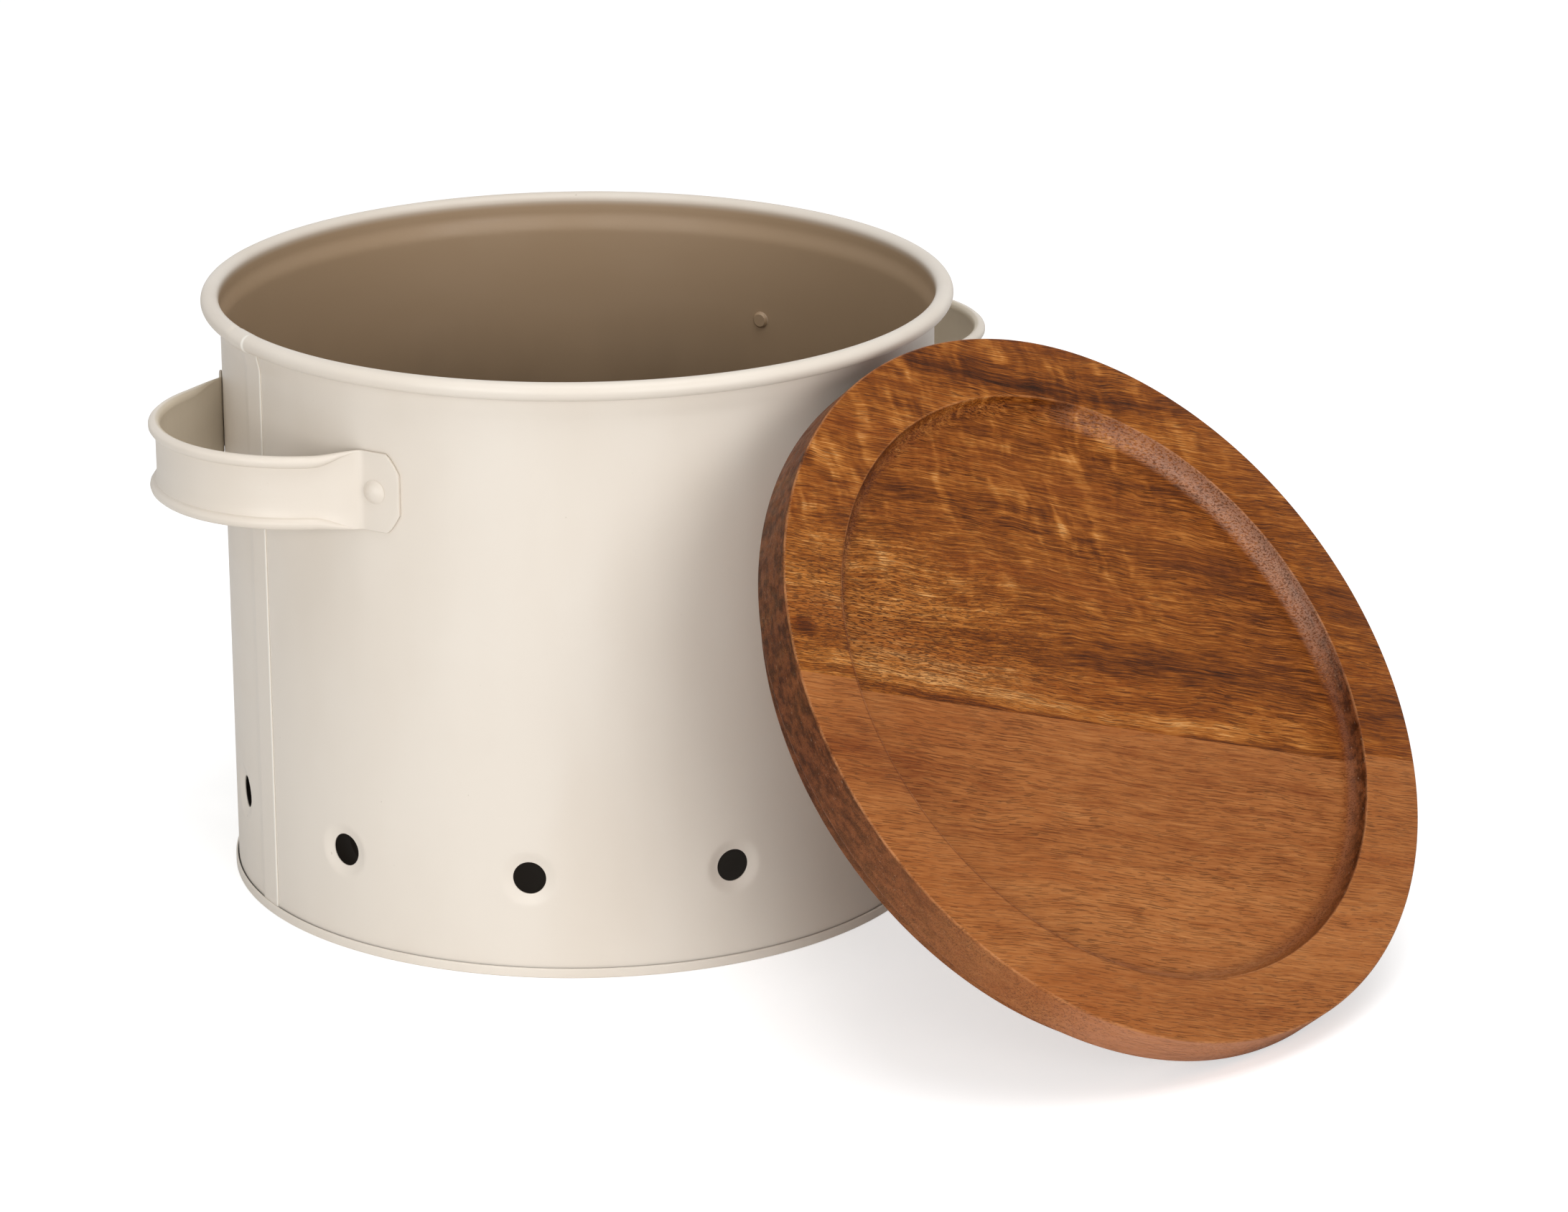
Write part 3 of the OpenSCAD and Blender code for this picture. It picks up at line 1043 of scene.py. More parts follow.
@dataclass
class Drum:
    """The rolled wall and the base of the drum.

    Attributes:
        inner: Radius of the wall's inner face.
        sheet: Thickness of the sheet.
        foot: Height of the wall's lower edge.
        rim_top: Height of the rim.
        curl: Outer radius of the curled edge's tube.
        rim_set: How far the neck sets the sheet outwards.
        neck: Height of the sloping neck.
        neck_gap: Straight sheet between the neck and the underside of the curl.
        curl_end: Angle where the curl's tail ends.
        seam_azimuth: Azimuth of the lap's visible edge.
        lap: Width of the lap, in degrees.
        lap_step: How far the outer layer of the lap stands proud.
        lap_gap: Air between the two layers of the lap.
        lap_settle: Angle over which the outer layer settles after the lap.
        lap_rise: Angle over which the inner layer steps in before the lap.
        vents: Number of vent holes.
        vent_radius: Radius of a vent hole.
        vent_height: Height of the vent holes.
        vent_phase: Azimuth from the seam to the next vent hole.
        dimple: Width of the dimple beyond the hole.
        dimple_depth: Depth of the dimple.
        dimple_margin: Sheet between the dimple and the edge of the vent's square.
        base_lift: Height of the underside of the base panel.
        seam_out: How far the base's seam stands proud of the wall.
        seam_height: Height of the base's seam.
        ring_radius: Radius of the pressed ring in the base panel.
        ring_width: Width of the pressed ring.
        ring_height: Height of the pressed ring.
    """

    inner: float = 118.2
    sheet: float = 0.8
    foot: float = 0.9
    rim_top: float = 201.5
    curl: float = 3.0
    rim_set: float = 1.1
    neck: float = 7.0
    neck_gap: float = 0.6
    curl_end: float = -110.0
    seam_azimuth: float = -59.7
    lap: float = 4.5
    lap_step: float = 0.45
    lap_gap: float = 0.03
    lap_settle: float = 1.5
    lap_rise: float = 0.6
    vents: int = 11
    vent_radius: float = 5.55
    vent_height: float = 33.8
    vent_phase: float = 18.0
    dimple: float = 4.4
    dimple_depth: float = 1.1
    dimple_margin: float = 2.05
    base_lift: float = 4.2
    seam_out: float = 1.1
    seam_height: float = 3.3
    ring_radius: float = 84.0
    ring_width: float = 8.0
    ring_height: float = 1.4

    @property
    def outer(self) -> float:
        """Radius of the wall's outer face."""
        return self.inner + self.sheet

    @property
    def curl_height(self) -> float:
        """Height of the middle of the curl."""
        return self.rim_top - self.curl

    @property
    def neck_top(self) -> float:
        """Height where the sloping neck ends."""
        return self.curl_height - self.curl - self.neck_gap

    @property
    def vent_square(self) -> float:
        """Half width of the square of sheet round a vent that becomes its rings."""
        return self.vent_radius + self.dimple + self.dimple_margin

    def vent_places(self) -> list[tuple[float, float]]:
        """Places of the vent holes on the flat sheet, in millimetres.

        Returns:
            Pairs of the distance back from the lap and the height.
        """
        step = 360.0 / self.vents
        back = [360.0 - self.vent_phase - step * index for index in range(self.vents)]
        return [(math.radians(angle) * self.outer, self.vent_height) for angle in back]

    def build(self, wall_finish: bpy.types.Material, finish: bpy.types.Material) -> None:
        """Models the wall and the base.

        Args:
            wall_finish: Material of the rolled wall.
            finish: Material of the base.
        """
        wall = self.flat_sheet()
        self.punch_vents(wall)
        reshape(wall, self.rolled)
        apply_modifier(
            wall,
            "SOLIDIFY",
            thickness=self.sheet * MM,
            offset=-1.0,
            use_even_offset=True,
            use_rim=True,
        )
        soften_edges(wall, width=0.2, angle=50.0)
        smooth(wall)
        dress(wall, wall_finish, Slot.ENAMEL, Body.BIN, "bin_wall")
        base = turned("base_pan", self.base_outline(), steps=264)
        soften_edges(base, width=0.2, angle=38.0)
        smooth(base)
        dress(base, finish, Slot.ENAMEL, Body.BIN, "base_disc")

    def flat_sheet(self) -> bpy.types.Object:
        """The wall before it is rolled: a flat grid, with stations where it bends.

        Returns:
            The grid: X runs back from the lap's visible edge, Y up the sheet.
        """
        half = self.vent_square
        half_angle = math.degrees(half / self.outer)
        cells = 12
        # Angles back from the lap's edge, close together where the lap steps.
        columns = {0.0, 0.12, 0.4, 359.6, 359.75, 359.9, 360.05, 360.2, 360.4}
        columns |= {self.lap + beyond for beyond in (-0.3, 0.0, 0.5, 1.0, 1.5, 2.2)}
        columns |= {360.0 + self.lap - 0.2, 360.0 + self.lap}
        shares = [2 * i / cells - 1 for i in range(cells + 1)]
        for x, _ in self.vent_places():
            angle = math.degrees(x / self.outer)
            columns |= {angle + half_angle * share for share in shares}
        rows = {self.foot, self.seam_height, self.seam_height + 1.5}
        rows |= {self.vent_height + half * share for share in shares}
        rows |= {self.neck_top - self.neck * i / 8 for i in range(11)}
        rows |= {self.neck_top + self.neck_gap, self.curl_height}
        turn = math.radians(180.0 - self.curl_end)
        curl_steps = 26
        rows |= {
            self.curl_height + self.curl * turn * i / curl_steps
            for i in range(1, curl_steps + 1)
        }
        xs = [math.radians(a) * self.outer for a in spaced(sorted(columns), widest=1.8)]
        ys = spaced(sorted(rows), widest=9.0)
        bpy.ops.object.select_all(action="DESELECT")
        bpy.ops.mesh.primitive_grid_add(
            x_subdivisions=len(xs) - 1, y_subdivisions=len(ys) - 1, size=2.0
        )
        sheet = bpy.context.object
        sheet.name = sheet.data.name = "rolled_wall"
        reshape(
            sheet,
            lambda p: Vector(
                (
                    xs[round((p.x + 1) / 2 * (len(xs) - 1))],
                    ys[round((p.y + 1) / 2 * (len(ys) - 1))],
                    0.0,
                )
            ),
        )
        return sheet

    def punch_vents(self, sheet: bpy.types.Object) -> None:
        """Cuts the vent holes in the flat sheet and presses their dimples.

        Args:
            sheet: The flat sheet.
        """
        places = self.vent_places()
        half = self.vent_square
        close = 0.01

        def nearest(p: Vector) -> Vector:
            """Offset of a point from the nearest vent's middle."""
            x, y = min(places, key=lambda spot: abs(spot[0] - p.x))
            return Vector((p.x - x, p.y - y, 0.0))

        def inside(p: Vector) -> bool:
            """Tells whether a face's middle lies in a vent's square."""
            away = nearest(p)
            return max(abs(away.x), abs(away.y)) < half - 0.5

        def on_edge(p: Vector) -> bool:
            """Tells whether a point lies on the edge of a vent's square."""
            away = nearest(p)
            return abs(max(abs(away.x), abs(away.y)) - half) < close

        def round_off(p: Vector, radius: float) -> Vector:
            """Takes a point of a square or a ring to the ring of a radius.

            Args:
                p: The point.
                radius: Radius of the ring round the vent's middle.

            Returns:
                The point on the ring, pressed in as deep as the dimple is there.
            """
            away = nearest(p)
            corner = abs(abs(away.x) - abs(away.y)) < close and away.length > half
            square = away.length > half - 0.001 or corner
            if square and abs(away.x) >= abs(away.y):
                angle = math.radians(45.0) * away.y / abs(away.x)
                angle = angle if away.x > 0 else math.pi - angle
            elif square:
                angle = math.radians(45.0) * away.x / abs(away.y)
                angle = math.pi / 2 - angle if away.y > 0 else angle - math.pi / 2
            else:
                angle = math.atan2(away.y, away.x)
            centre = Vector((p.x - away.x, p.y - away.y, 0.0))
            depth = self.dimple_depth * ease(
                (self.vent_radius + self.dimple - radius) / (self.dimple + 0.4)
            )
            return centre + Vector(
                (radius * math.cos(angle), radius * math.sin(angle), depth)
            )

        rings = 10
        outer_ring = self.vent_radius + self.dimple + 0.7
        with editing(sheet):
            pick_faces(sheet, inside)
            bpy.ops.mesh.delete(type="FACE")
            pick_points(sheet, on_edge)
            for ring in range(rings + 1):
                radius = outer_ring + (self.vent_radius - outer_ring) * ring / rings
                bpy.ops.mesh.extrude_region_move()
                move_picked(sheet, lambda p, r=radius: round_off(p, r))

    def rolled(self, p: Vector) -> Vector:
        """Rolls a point of the flat sheet into the drum.

        Args:
            p: X runs back from the lap's visible edge, Y up the sheet and round the
                curl, Z inwards.

        Returns:
            The point on the drum, in metres.
        """
        back = math.degrees(p.x / self.outer)
        inwards = p.z
        if p.y <= self.curl_height:
            set_out = ease((p.y - self.neck_top + self.neck) / self.neck)
            radius, height = self.inner + self.rim_set * set_out, p.y
            facing = Vector((-1.0, 0.0))
            crown = 0.0
        else:
            angle = math.pi - (p.y - self.curl_height) / self.curl
            facing = Vector((math.cos(angle), math.sin(angle)))
            middle = self.inner + self.rim_set + self.curl
            radius = middle + self.curl * facing.x
            height = self.curl_height + self.curl * facing.y
            crown = max(0.0, facing.y)
        under = (self.sheet - self.lap_step + self.lap_gap) * (1.0 - crown)
        if back < 180.0:
            settled = ease((back - self.lap) / self.lap_settle)
            inwards -= (self.sheet + self.lap_gap - under) * (1.0 - settled)
        else:
            inwards += under * ease((back - 360.0 + self.lap_rise / 2) / self.lap_rise)
        radius += facing.x * inwards
        height += facing.y * inwards
        azimuth = math.radians(self.seam_azimuth - back)
        return Vector(
            (radius * math.sin(azimuth), -radius * math.cos(azimuth), height)
        ) * MM

    def base_outline(self) -> Outline:
        """Outline of the base: a sunk panel whose edge folds round the wall's foot.

        Returns:
            Points as (radius, height).
        """
        fit = 0.1
        fold = 0.6 * self.sheet
        in_r = self.inner - fit
        out_r = self.outer + fit
        lip_r = self.outer + self.seam_out
        lip = (lip_r - out_r) / 2
        top = self.base_lift + self.sheet
        low = self.ring_radius - self.ring_width / 2
        high = self.ring_radius + self.ring_width / 2
        slope = self.ring_height
        set_in = 0.4 * self.sheet
        return [
            (0.0, self.base_lift),
            (30.0, self.base_lift),
            (60.0, self.base_lift),
            (low, self.base_lift),
            (low + slope, self.base_lift + slope),
            (high - slope, self.base_lift + slope),
            (high, self.base_lift),
            (100.0, self.base_lift),
            (in_r - self.sheet, self.base_lift),
            *arc((in_r - self.sheet + fold, fold), fold, 180, 270, 8),
            *arc((lip_r - fold, fold), fold, 270, 360, 8),
            *arc((lip_r - lip, self.seam_height - lip), lip, 0, 180, 12),
            (out_r, self.sheet),
            (in_r, self.sheet),
            (in_r, top),
            (100.0, top),
            (high + set_in, top),
            (high - slope + set_in, top + slope),
            (low + slope - set_in, top + slope),
            (low - set_in, top),
            (60.0, top),
            (30.0, top),
            (0.0, top),
        ]


@dataclass
class StrapHandle:
    """A strap handle whose rolled edges fade into flat riveted tabs.

    Attributes:
        name: Name of the piece.
        node: The solid that it stands for.
        azimuth: Azimuth of its middle.
        height: Height of its middle.
        wall: Outer radius of the drum's wall.
        strap: Thickness of the strap.
        grip_height: Height of the strap along the grip.
        grip_reach: Reach of the grip's rolled edges beyond the wall.
        grip_radius: Bend radius of the grip.
        leg_spread: How far the creases of the tabs lie out beyond the grip's bend.
        crease_turn: Length of strap that bends on each side of a crease.
        roll: Outer radius of the rolled edges.
        inset: How far the web lies inside the middle of the rolled edges.
        fade: Length over which a rolled edge fades out towards the crease.
        flat_leg: Length of the leg that is flat before the crease.
        fit: Clearance between a tab and the wall.
        tab_height: Height of a tab.
        rivet_in: Distance from the crease to the rivet.
        tab_end: Distance from the rivet to the tab's outer end.
        corner_width: Length of a tab corner's cut along the wall.
        corner_height: Height of a tab corner's cut.
        corner_curve: Power of the cut's curve, straight at 1.
    """

    name: str
    node: str
    azimuth: float
    height: float = 159.9
    wall: float = 119.0
    strap: float = 1.0
    grip_height: float = 24.4
    grip_reach: float = 33.1
    grip_radius: float = 48.9
    leg_spread: float = 0.5
    crease_turn: float = 1.5
    roll: float = 2.0
    inset: float = 0.8
    fade: float = 15.0
    flat_leg: float = 1.0
    fit: float = 0.1
    tab_height: float = 26.4
    rivet_in: float = 5.25
    tab_end: float = 9.15
    corner_width: float = 5.0
    corner_height: float = 6.4
    corner_curve: float = 1.4

    @property
    def tab_middle(self) -> float:
        """Radius of the middle of a tab's thickness."""
        return self.wall + self.fit + self.strap / 2

    @property
    def crease(self) -> float:
        """Angle at the drum's axis from the middle to the crease of a tab, in degrees."""
        return math.degrees(math.asin((self.grip_radius + self.leg_spread) / self.tab_middle))

    @property
    def rivet_angle(self) -> float:
        """Angle at the drum's axis from the handle's middle to a rivet, in degrees."""
        return self.crease + math.degrees(self.rivet_in / (self.tab_middle + 0.5))

    def half_route(self) -> list[Vector]:
        """Middle of the strap from the handle's middle to a tab's end.

        Returns:
            Points as (sideways, outward) vectors.
        """
        corner = self.tab_middle * heading(math.radians(self.crease))
        hub = Vector((0.0, self.wall + self.grip_reach - self.grip_radius))
        apart = (corner - hub).length
        bend = math.atan2(corner.x, corner.y - hub.y) - math.acos(self.grip_radius / apart)
        bend_steps, leg_steps, turn_steps, tab_steps = 44, 5, 8, 22
        route = [
            hub + self.grip_radius * heading(bend * i / bend_steps)
            for i in range(bend_steps + 1)
        ]
        bend_end = route[-1]
        near = corner - (corner - bend_end).normalized() * self.crease_turn
        route += [bend_end.lerp(near, i / leg_steps) for i in range(1, leg_steps + 1)]
        after = math.radians(self.crease) + self.crease_turn / self.tab_middle
        far = self.tab_middle * heading(after)
        for i in range(1, turn_steps + 1):
            share = i / turn_steps
            route.append(near.lerp(corner, share).lerp(corner.lerp(far, share), share))
        length = self.rivet_in + self.tab_end - self.crease_turn
        for i in range(1, tab_steps + 1):
            angle = after + length * i / tab_steps / self.tab_middle
            route.append(self.tab_middle * heading(angle))
        return route

    def section(self, rolled: float, height: float) -> Outline:
        """Section of the strap.

        Args:
            rolled: Share of the rolled edges, from 0 to 1.
            height: Height of the section.

        Returns:
            Points as (outward, upward) pairs, going once round.
        """
        radius = self.strap / 2 + (self.roll - self.strap / 2) * rolled
        inner = -self.inset * rolled - self.strap / 2
        outer = inner + self.strap
        start = 360.0 - math.degrees(math.acos(max(-1.0, inner / radius)))
        end = -math.degrees(math.acos(min(1.0, outer / radius)))
        upper = arc((0.0, height / 2 - radius), radius, start, end, 20)
        lower = [(x, -z) for x, z in reversed(upper)]
        web_steps = 5

        def web(first: tuple[float, float], last: tuple[float, float]) -> Outline:
            """Points between two ends of the web, without the ends."""
            return [
                (first[0], first[1] + (last[1] - first[1]) * i / web_steps)
                for i in range(1, web_steps)
            ]

        return upper + web(upper[-1], lower[0]) + lower + web(lower[-1], upper[0])

    def stations(self) -> list[tuple[Vector, Vector, Outline]]:
        """Stations of the strap from one tab's end to the other's.

        Returns:
            The strap's middle, its outward direction and its section at each station.
        """
        half = self.half_route()
        whole = [Vector((-p.x, p.y)) for p in reversed(half[1:])] + half
        lengths = [0.0]
        for first, second in pairwise(half):
            lengths.append(lengths[-1] + (second - first).length)
        flat_from = lengths[-1] - (self.rivet_in + self.tab_end) - self.flat_leg
        last = len(whole) - 1
        stations = []
        for index, point in enumerate(whole):
            along = lengths[abs(index - (len(half) - 1))]
            ahead = whole[min(last, index + 1)] - whole[max(0, index - 1)]
            outward = Vector((-ahead.y, ahead.x)).normalized()
            rolled = ease((flat_from - along) / self.fade)
            height = self.tab_height + (self.grip_height - self.tab_height) * rolled
            cut = (along - lengths[-1] + self.corner_width) / self.corner_width
            height -= 2 * self.corner_height * max(0.0, cut) ** self.corner_curve
            stations.append((point, outward, self.section(rolled, height)))
        return stations

    def build(self, finish: bpy.types.Material) -> None:
        """Models the handle.

        Args:
            finish: Its material.
        """
        stations = self.stations()
        around = len(stations[0][2])
        piece = self.strap_blank(around, len(stations))

        def placed(p: Vector) -> Vector:
            """Takes a point of the blank to its place in the strap.

            Args:
                p: The point.

            Returns:
                Its place beside the drum, before the turn to the handle's azimuth.
            """
            step = round((p.z + 0.5) * (len(stations) - 1))
            turn = round(math.atan2(p.y, p.x) / TURN * around) % around
            point, outward, outline = stations[step]
            x, z = outline[turn]
            flat = point + outward * x
            return Vector((flat.x, -flat.y, z + self.height)) * MM

        reshape(piece, placed)
        piece.data.transform(Matrix.Rotation(math.radians(self.azimuth), 4, "Z"))
        close_up(piece)
        soften_edges(piece, width=0.35, angle=33.0)
        smooth(piece, angle=40.0)
        dress(piece, finish, Slot.ENAMEL, Body.BIN, self.node)

    def strap_blank(self, around: int, along: int) -> bpy.types.Object:
        """A cylinder with a ring of points for each station of the strap.

        Args:
            around: Points in a ring.
            along: Number of rings.

        Returns:
            The cylinder, of length 1 and radius 1.
        """
        bpy.ops.object.select_all(action="DESELECT")
        bpy.ops.mesh.primitive_cylinder_add(
            vertices=around, radius=1.0, depth=1.0, end_fill_type="NGON"
        )
        piece = bpy.context.object
        piece.name = piece.data.name = self.name
        with editing(piece):
            bpy.ops.mesh.select_mode(type="EDGE")
            mesh = bmesh.from_edit_mesh(piece.data)
            for edge in mesh.edges:
                low, high = edge.verts
                edge.select_set(abs(low.co.z - high.co.z) > 0.5)
            bmesh.update_edit_mesh(piece.data)
            bpy.ops.mesh.subdivide(number_cuts=along - 2)
        return piece


@dataclass
class Rivet:
    """A domed rivet that holds a handle's tab to the wall.

    Attributes:
        name: Name of the piece.
        node: The solid that it stands for.
        azimuth: Azimuth of its axis.
        height: Height of its axis.
        seat: Radius of the tab's outer face.
        inner: Radius of the wall's inner face.
        head: Radius of the domed head.
        dome: Height of the domed head.
        shank: Radius of the shank.
        upset: Radius of the upset head inside the drum.
        upset_height: Height of the upset head.
    """

    name: str
    node: str
    azimuth: float
    height: float = 159.9
    seat: float = 120.1
    inner: float = 118.2
    head: float = 3.9
    dome: float = 1.9
    shank: float = 1.6
    upset: float = 2.9
    upset_height: float = 1.1

    def build(self, finish: bpy.types.Material) -> None:
        """Models the rivet.

        Args:
            finish: Its material.
        """
        ball = (self.head**2 + self.dome**2) / (2 * self.dome)
        edge = math.degrees(math.asin(self.head / ball))
        dome = arc((0.0, self.seat + self.dome - ball), ball, 90.0, 90.0 - edge, 14)
        back = math.sqrt(self.inner**2 - self.upset**2)
        sunk = self.seat - 0.04
        outline = [
            *dome[:-1],
            (self.head + 0.05, self.seat + 0.12),
            (self.head + 0.02, sunk),
            (self.shank, sunk),
            (self.shank, back),
            (self.upset, back),
            (self.upset - 0.1, back - 0.5),
            (self.upset * 0.75, back - self.upset_height),
            (0.0, back - self.upset_height),
        ]
        piece = turned(self.name, outline, steps=40)
        facing = Matrix.Rotation(math.radians(self.azimuth), 4, "Z")
        facing @= Matrix.Translation((0, 0, self.height * MM))
        facing @= Matrix.Rotation(math.radians(90), 4, "X")
        piece.data.transform(facing)
        smooth(piece, angle=38.0)
        dress(piece, finish, Slot.ENAMEL, Body.BIN, self.node)


@dataclass
class Lid:
    """The turned acacia lid: two boards glued edge to edge, leaning on the drum.

    Attributes:
        radius: Outer radius.
        flange: Thickness of the flange.
        plug: Depth of the plug below the flange.
        plug_radius: Radius of the plug.
        dish_radius: Radius of the dish.
        dish_depth: Depth of the dish and radius of its cove.
        edge: Radius of the broken edges.
        glue_offset: Distance of the glue line from the centre.
        glue_angle: Direction of the glue line, in degrees.
        azimuth: Azimuth that the lid faces.
        tilt: Tilt from upright.
    """

    radius: float = 124.25
    flange: float = 15.2
    plug: float = 10.6
    plug_radius: float = 116.5
    dish_radius: float = 102.7
    dish_depth: float = 6.0
    edge: float = 0.95
    glue_offset: float = -13.2
    glue_angle: float = -23.35
    azimuth: float = 44.4
    tilt: float = 40.6

    @cached_property
    def lean(self) -> Matrix:
        """Takes the lid's own frame, top up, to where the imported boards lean."""
        turn = Matrix.Rotation(math.radians(self.azimuth), 4, "Z")
        turn @= Matrix.Rotation(math.radians(90.0 - self.tilt), 4, "X")
        boards = ("lid_board_upper", "lid_board_lower")
        points = [v.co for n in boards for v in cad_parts[n].data.vertices]
        local = [turn.inverted() @ p for p in points]
        centre = [
            (max(p[axis] for p in local) + min(p[axis] for p in local)) / 2 for axis in (0, 1)
        ]
        top = max(p.z for p in local)
        return turn @ Matrix.Translation((centre[0], centre[1], top))

    @cached_property
    def grain_frame(self) -> Matrix:
        """Frame of the grain: X along the glue line, Y towards the upper board."""
        return self.lean @ Matrix.Rotation(math.radians(self.glue_angle), 4, "Z")

    def outline(self) -> Outline:
        """Outline of the turned lid, with the middle of its top at the origin.

        Returns:
            Points as (radius, height).
        """
        e = self.edge
        total = self.flange + self.plug
        cove = self.dish_radius - self.dish_depth
        brink = 0.35
        return [
            (0.0, -self.dish_depth),
            *[(cove * share, -self.dish_depth) for share in (0.3, 0.6, 0.85)],
            *arc((cove, 0.0), self.dish_depth, -90.0, -6.0, 12),
            *arc((self.dish_radius + brink, -brink), brink, 150.0, 90.0, 3),
            (self.dish_radius + 8.0, 0.0),
            (self.radius - 8.0, 0.0),
            *arc((self.radius - e, -e), e, 90.0, 0.0, 5),
            (self.radius, -self.flange / 2),
            *arc((self.radius - e, e - self.flange), e, 0.0, -90.0, 5),
            (self.plug_radius, -self.flange),
            *arc((self.plug_radius - e, e - total), e, 0.0, -90.0, 5),
            *[(self.plug_radius * share, -total) for share in (0.85, 0.6, 0.3)],
            (0.0, -total),
        ]

    def build(self, golden: bpy.types.Material, red: bpy.types.Material) -> None:
        """Models the two boards.

        Args:
            golden: Material of the upper board.
            red: Material of the lower board.
        """
        upper = turned("acacia_board_upper", self.outline(), steps=288)
        lower = upper.copy()
        lower.data = upper.data.copy()
        lower.name = lower.data.name = "acacia_board_lower"
        bpy.context.collection.objects.link(lower)
        turn = Matrix.Rotation(math.radians(self.glue_angle), 3, "Z")
        across = turn @ Vector((0, 1, 0))
        for board, keep_far in ((upper, True), (lower, False)):
            with editing(board):
                bpy.ops.mesh.select_all(action="SELECT")
                bpy.ops.mesh.bisect(
                    plane_co=across * self.glue_offset * MM,
                    plane_no=across,
                    use_fill=True,
                    clear_inner=keep_far,
                    clear_outer=not keep_far,
                )
            close_up(board)
            board.data.transform(self.lean)
            smooth(board, angle=30.0)
        dress(upper, golden, Slot.GOLDEN_BOARD, Body.LID, "lid_board_upper")
        dress(lower, red, Slot.RED_BOARD, Body.LID, "lid_board_lower")


@dataclass
class Lamp:
    """A large soft lamp.

    Attributes:
        name: Its name.
        place: Where it hangs, in metres.
        width: Width of its square face, in metres.
        power: Power in watts.
        aim: Point that it faces.
    """

    name: str
    place: tuple[float, float, float]
    width: float
    power: float
    aim: tuple[float, float, float] = (0.05, 0.0, 0.1)

    def build(self) -> None:
        """Hangs the lamp."""
        light = bpy.data.lights.new(self.name, "AREA")
        light.size = self.width
        light.energy = self.power
        lamp = bpy.data.objects.new(self.name, light)
        lamp.location = self.place
        aim = Vector(self.aim) - Vector(self.place)
        lamp.rotation_euler = aim.to_track_quat("-Z", "Y").to_euler()
        bpy.context.collection.objects.link(lamp)


@dataclass
class Studio:
    """The camera, the pale floor and the plain soft light.

    Attributes:
        eye: Place of the camera, in metres.
        focal: Focal length on a 36 mm wide sensor, in millimetres.
        yaw: Turn of the view towards +X, in degrees.
        pitch: Dip of the view below the horizon.
        roll: Roll of the view.
        sky: Strength of the even light from all round.
        floor_glow: Light that the floor adds for the camera alone.
    """

    eye: tuple[float, float, float] = (0.0, -1.7404, 0.6676)
    focal: float = 123.76
    yaw: float = 2.257
    pitch: float = 18.461
    roll: float = -0.143
    sky: float = 0.38
    floor_glow: float = 0.5

    def build(self) -> None:
        """Sets the stage."""
        self.camera()
        self.floor()
        self.world()
        for lamp in (
            Lamp("key_right", (1.3, -2.2, 0.5), 1.3, 25.0),
            Lamp("key_left", (-1.1, -2.3, 0.45), 1.5, 26.0),
            Lamp("top", (0.3, -0.5, 2.2), 1.6, 24.0),
        ):
            lamp.build()
        bpy.context.scene.view_settings.view_transform = "Standard"

    def camera(self) -> None:
        """Sets the camera at the photograph's view."""
        yaw, pitch, roll = map(math.radians, (self.yaw, self.pitch, self.roll))
        ahead = Vector(
            (
                math.sin(yaw) * math.cos(pitch),
                math.cos(yaw) * math.cos(pitch),
                -math.sin(pitch),
            )
        )
        right = Vector((math.cos(yaw), -math.sin(yaw), 0.0))
        up = right.cross(ahead)
        right, up = (
            math.cos(roll) * right + math.sin(roll) * up,
            math.cos(roll) * up - math.sin(roll) * right,
        )
        lens = bpy.data.cameras.new("camera")
        lens.sensor_width = 36.0
        lens.sensor_fit = "HORIZONTAL"
        lens.lens = self.focal
        lens.clip_start, lens.clip_end = 0.05, 60.0
        camera = bpy.data.objects.new("camera", lens)
        turn = Matrix((right, up, -ahead)).transposed().to_4x4()
        camera.matrix_world = Matrix.Translation(self.eye) @ turn
        bpy.context.collection.objects.link(camera)
        bpy.context.scene.camera = camera

    def floor(self) -> None:
        """Lays a wide white floor that still takes the object's shadow."""
        bpy.ops.object.select_all(action="DESELECT")
        bpy.ops.mesh.primitive_plane_add(size=14.0)
        floor = bpy.context.object
        floor.name = "floor"
        sh = Shader("white_floor")
        seen = sh.tree.nodes.new("ShaderNodeLightPath").outputs["Is Camera Ray"]
        sh.set(Base_Color=(0.86, 0.86, 0.86, 1.0), Roughness=0.9, Specular_IOR_Level=0.1)
        sh.set(Emission_Color=(1.0, 1.0, 1.0, 1.0))
        sh.set(Emission_Strength=sh.math("MULTIPLY", seen, self.floor_glow))
        floor.data.materials.append(sh.material)

    def world(self) -> None:
        """Lights the stage evenly, and shows white behind it."""
        world = bpy.data.worlds.new("studio")
        world.use_nodes = True
        bpy.context.scene.world = world
        tree = world.node_tree
        tree.nodes.clear()
        rays = tree.nodes.new("ShaderNodeLightPath").outputs
        shown = rays["Is Camera Ray"]
        for kind in ("Is Glossy Ray", "Is Transmission Ray"):
            either = tree.nodes.new("ShaderNodeMath")
            either.operation = "MAXIMUM"
            tree.links.new(shown, either.inputs[0])
            tree.links.new(rays[kind], either.inputs[1])
            shown = either.outputs[0]
        mix = tree.nodes.new("ShaderNodeMixShader")
        tree.links.new(shown, mix.inputs[0])
        for index, strength in ((1, self.sky), (2, 1.0)):
            light = tree.nodes.new("ShaderNodeBackground")
            light.inputs["Color"].default_value = (1.0, 1.0, 1.0, 1.0)
            light.inputs["Strength"].default_value = strength
            tree.links.new(light.outputs[0], mix.inputs[index])
        output = tree.nodes.new("ShaderNodeOutputWorld")
        tree.links.new(mix.outputs[0], output.inputs[0])


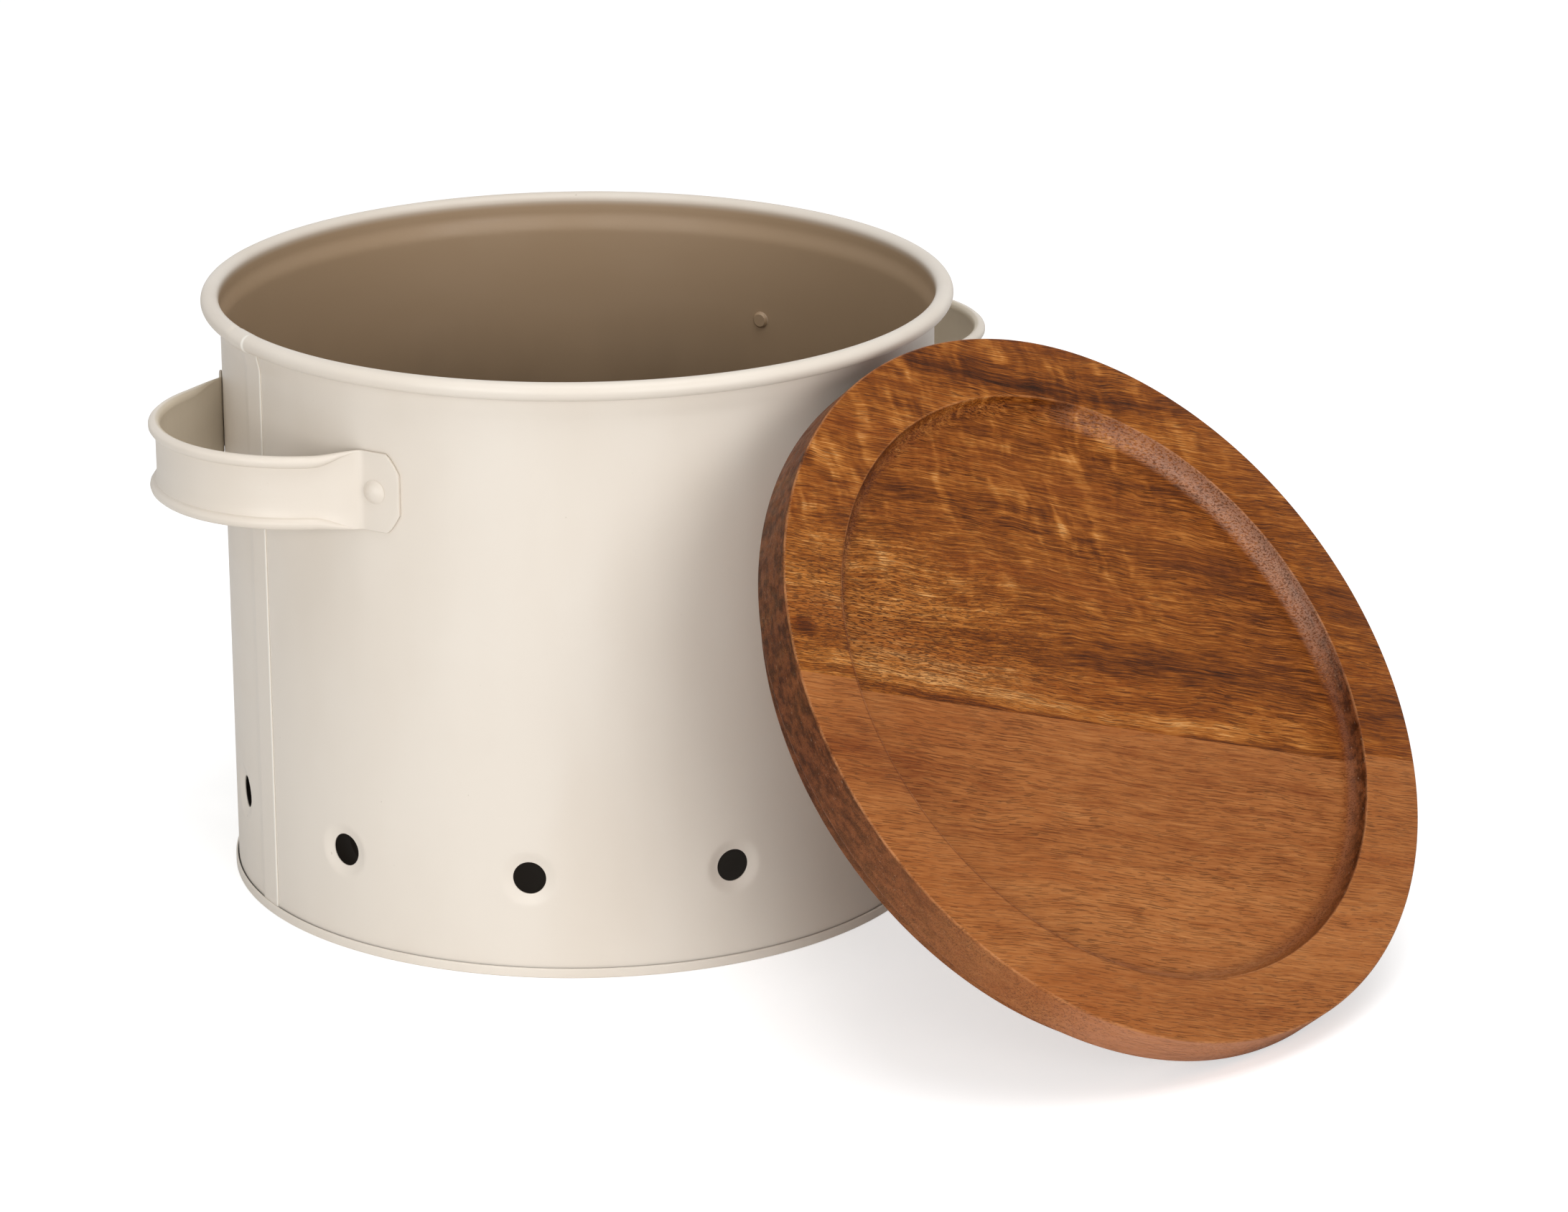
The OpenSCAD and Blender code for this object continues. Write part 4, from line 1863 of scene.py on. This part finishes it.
UPPER_BOARD = Acacia(
    name="golden_acacia",
    stops=(
        (0.0, tone(40, 18, 5)),
        (0.25, tone(84, 40, 10)),
        (0.5, tone(130, 70, 21)),
        (0.75, tone(170, 106, 46)),
        (1.0, tone(208, 152, 92)),
    ),
    clouds=(
        Cloud(-95, 16, 68, 36, 0.2),
        Cloud(-70, -5, 56, 5, 0.18),
        Cloud(20, -7.5, 90, 3.4, 0.2),
        Cloud(-20, -12.3, 112, 2.0, -0.3),
        Cloud(112, -5, 22, 9, -0.16),
        Cloud(50, 6, 66, 9, -0.13),
        Cloud(40, 26, 50, 12, 0.05),
        Cloud(100, 38, 42, 34, -0.07),
        Cloud(60, 52, 50, 26, -0.1),
        Cloud(30, 82, 44, 9, -0.1),
        Cloud(0, 107, 66, 3, -0.32),
        Cloud(-119, 3, 5, 3.6, -0.6),
        Cloud(-108, 0, 16, 6, -0.2),
    ),
    middle=0.5,
    figure=0.34,
    streaks=0.85,
    wander=4.0,
    pores=0.68,
    blush=tone(122, 58, 18),
    crowded=Cloud(-88, 12, 76, 38, 1.3),
)

LOWER_BOARD = Acacia(
    name="red_acacia",
    stops=(
        (0.0, tone(72, 31, 10)),
        (0.3, tone(114, 58, 24)),
        (0.55, tone(150, 90, 45)),
        (0.8, tone(171, 111, 62)),
        (1.0, tone(198, 138, 86)),
    ),
    clouds=(
        Cloud(-100, -38, 50, 7, -0.14),
        Cloud(30, -84, 90, 22, 0.12),
        Cloud(10, -112, 80, 8, -0.06),
    ),
    middle=0.56,
    figure=0.0,
    streaks=0.6,
    wander=2.5,
    pores=0.46,
    blush=tone(140, 73, 30),
    crowded=Cloud(-60, -120, 10, 6, 0.2),
)


def main() -> None:
    """Builds the object and its stage."""
    logging.basicConfig(level=logging.INFO)
    Studio().build()
    drum = Drum()
    wall_paint = Enamel("cream_enamel_wall", lined=True, seam=drum.seam_azimuth, roll=0.0006)
    wall_finish = wall_paint.material()
    base_finish = Enamel("cream_enamel_base", lined=True).material()
    finish = Enamel("cream_enamel").material()
    drum.build(wall_finish, base_finish)
    left = StrapHandle("strap_left", "handle_left", -60.0)
    right = StrapHandle("strap_right", "handle_right", 120.0)
    for handle in (left, right):
        handle.build(finish)
    for name, azimuth in (
        ("left_front", left.azimuth + left.rivet_angle),
        ("left_rear", left.azimuth - left.rivet_angle),
        ("right_front", right.azimuth - right.rivet_angle),
        ("right_rear", right.azimuth + right.rivet_angle),
    ):
        Rivet(f"domed_rivet_{name}", f"rivet_{name}", azimuth).build(base_finish)
    lid = Lid()
    lid.build(BoardShader(UPPER_BOARD, lid).build(), BoardShader(LOWER_BOARD, lid).build())


if __name__ == "__main__":
    main()
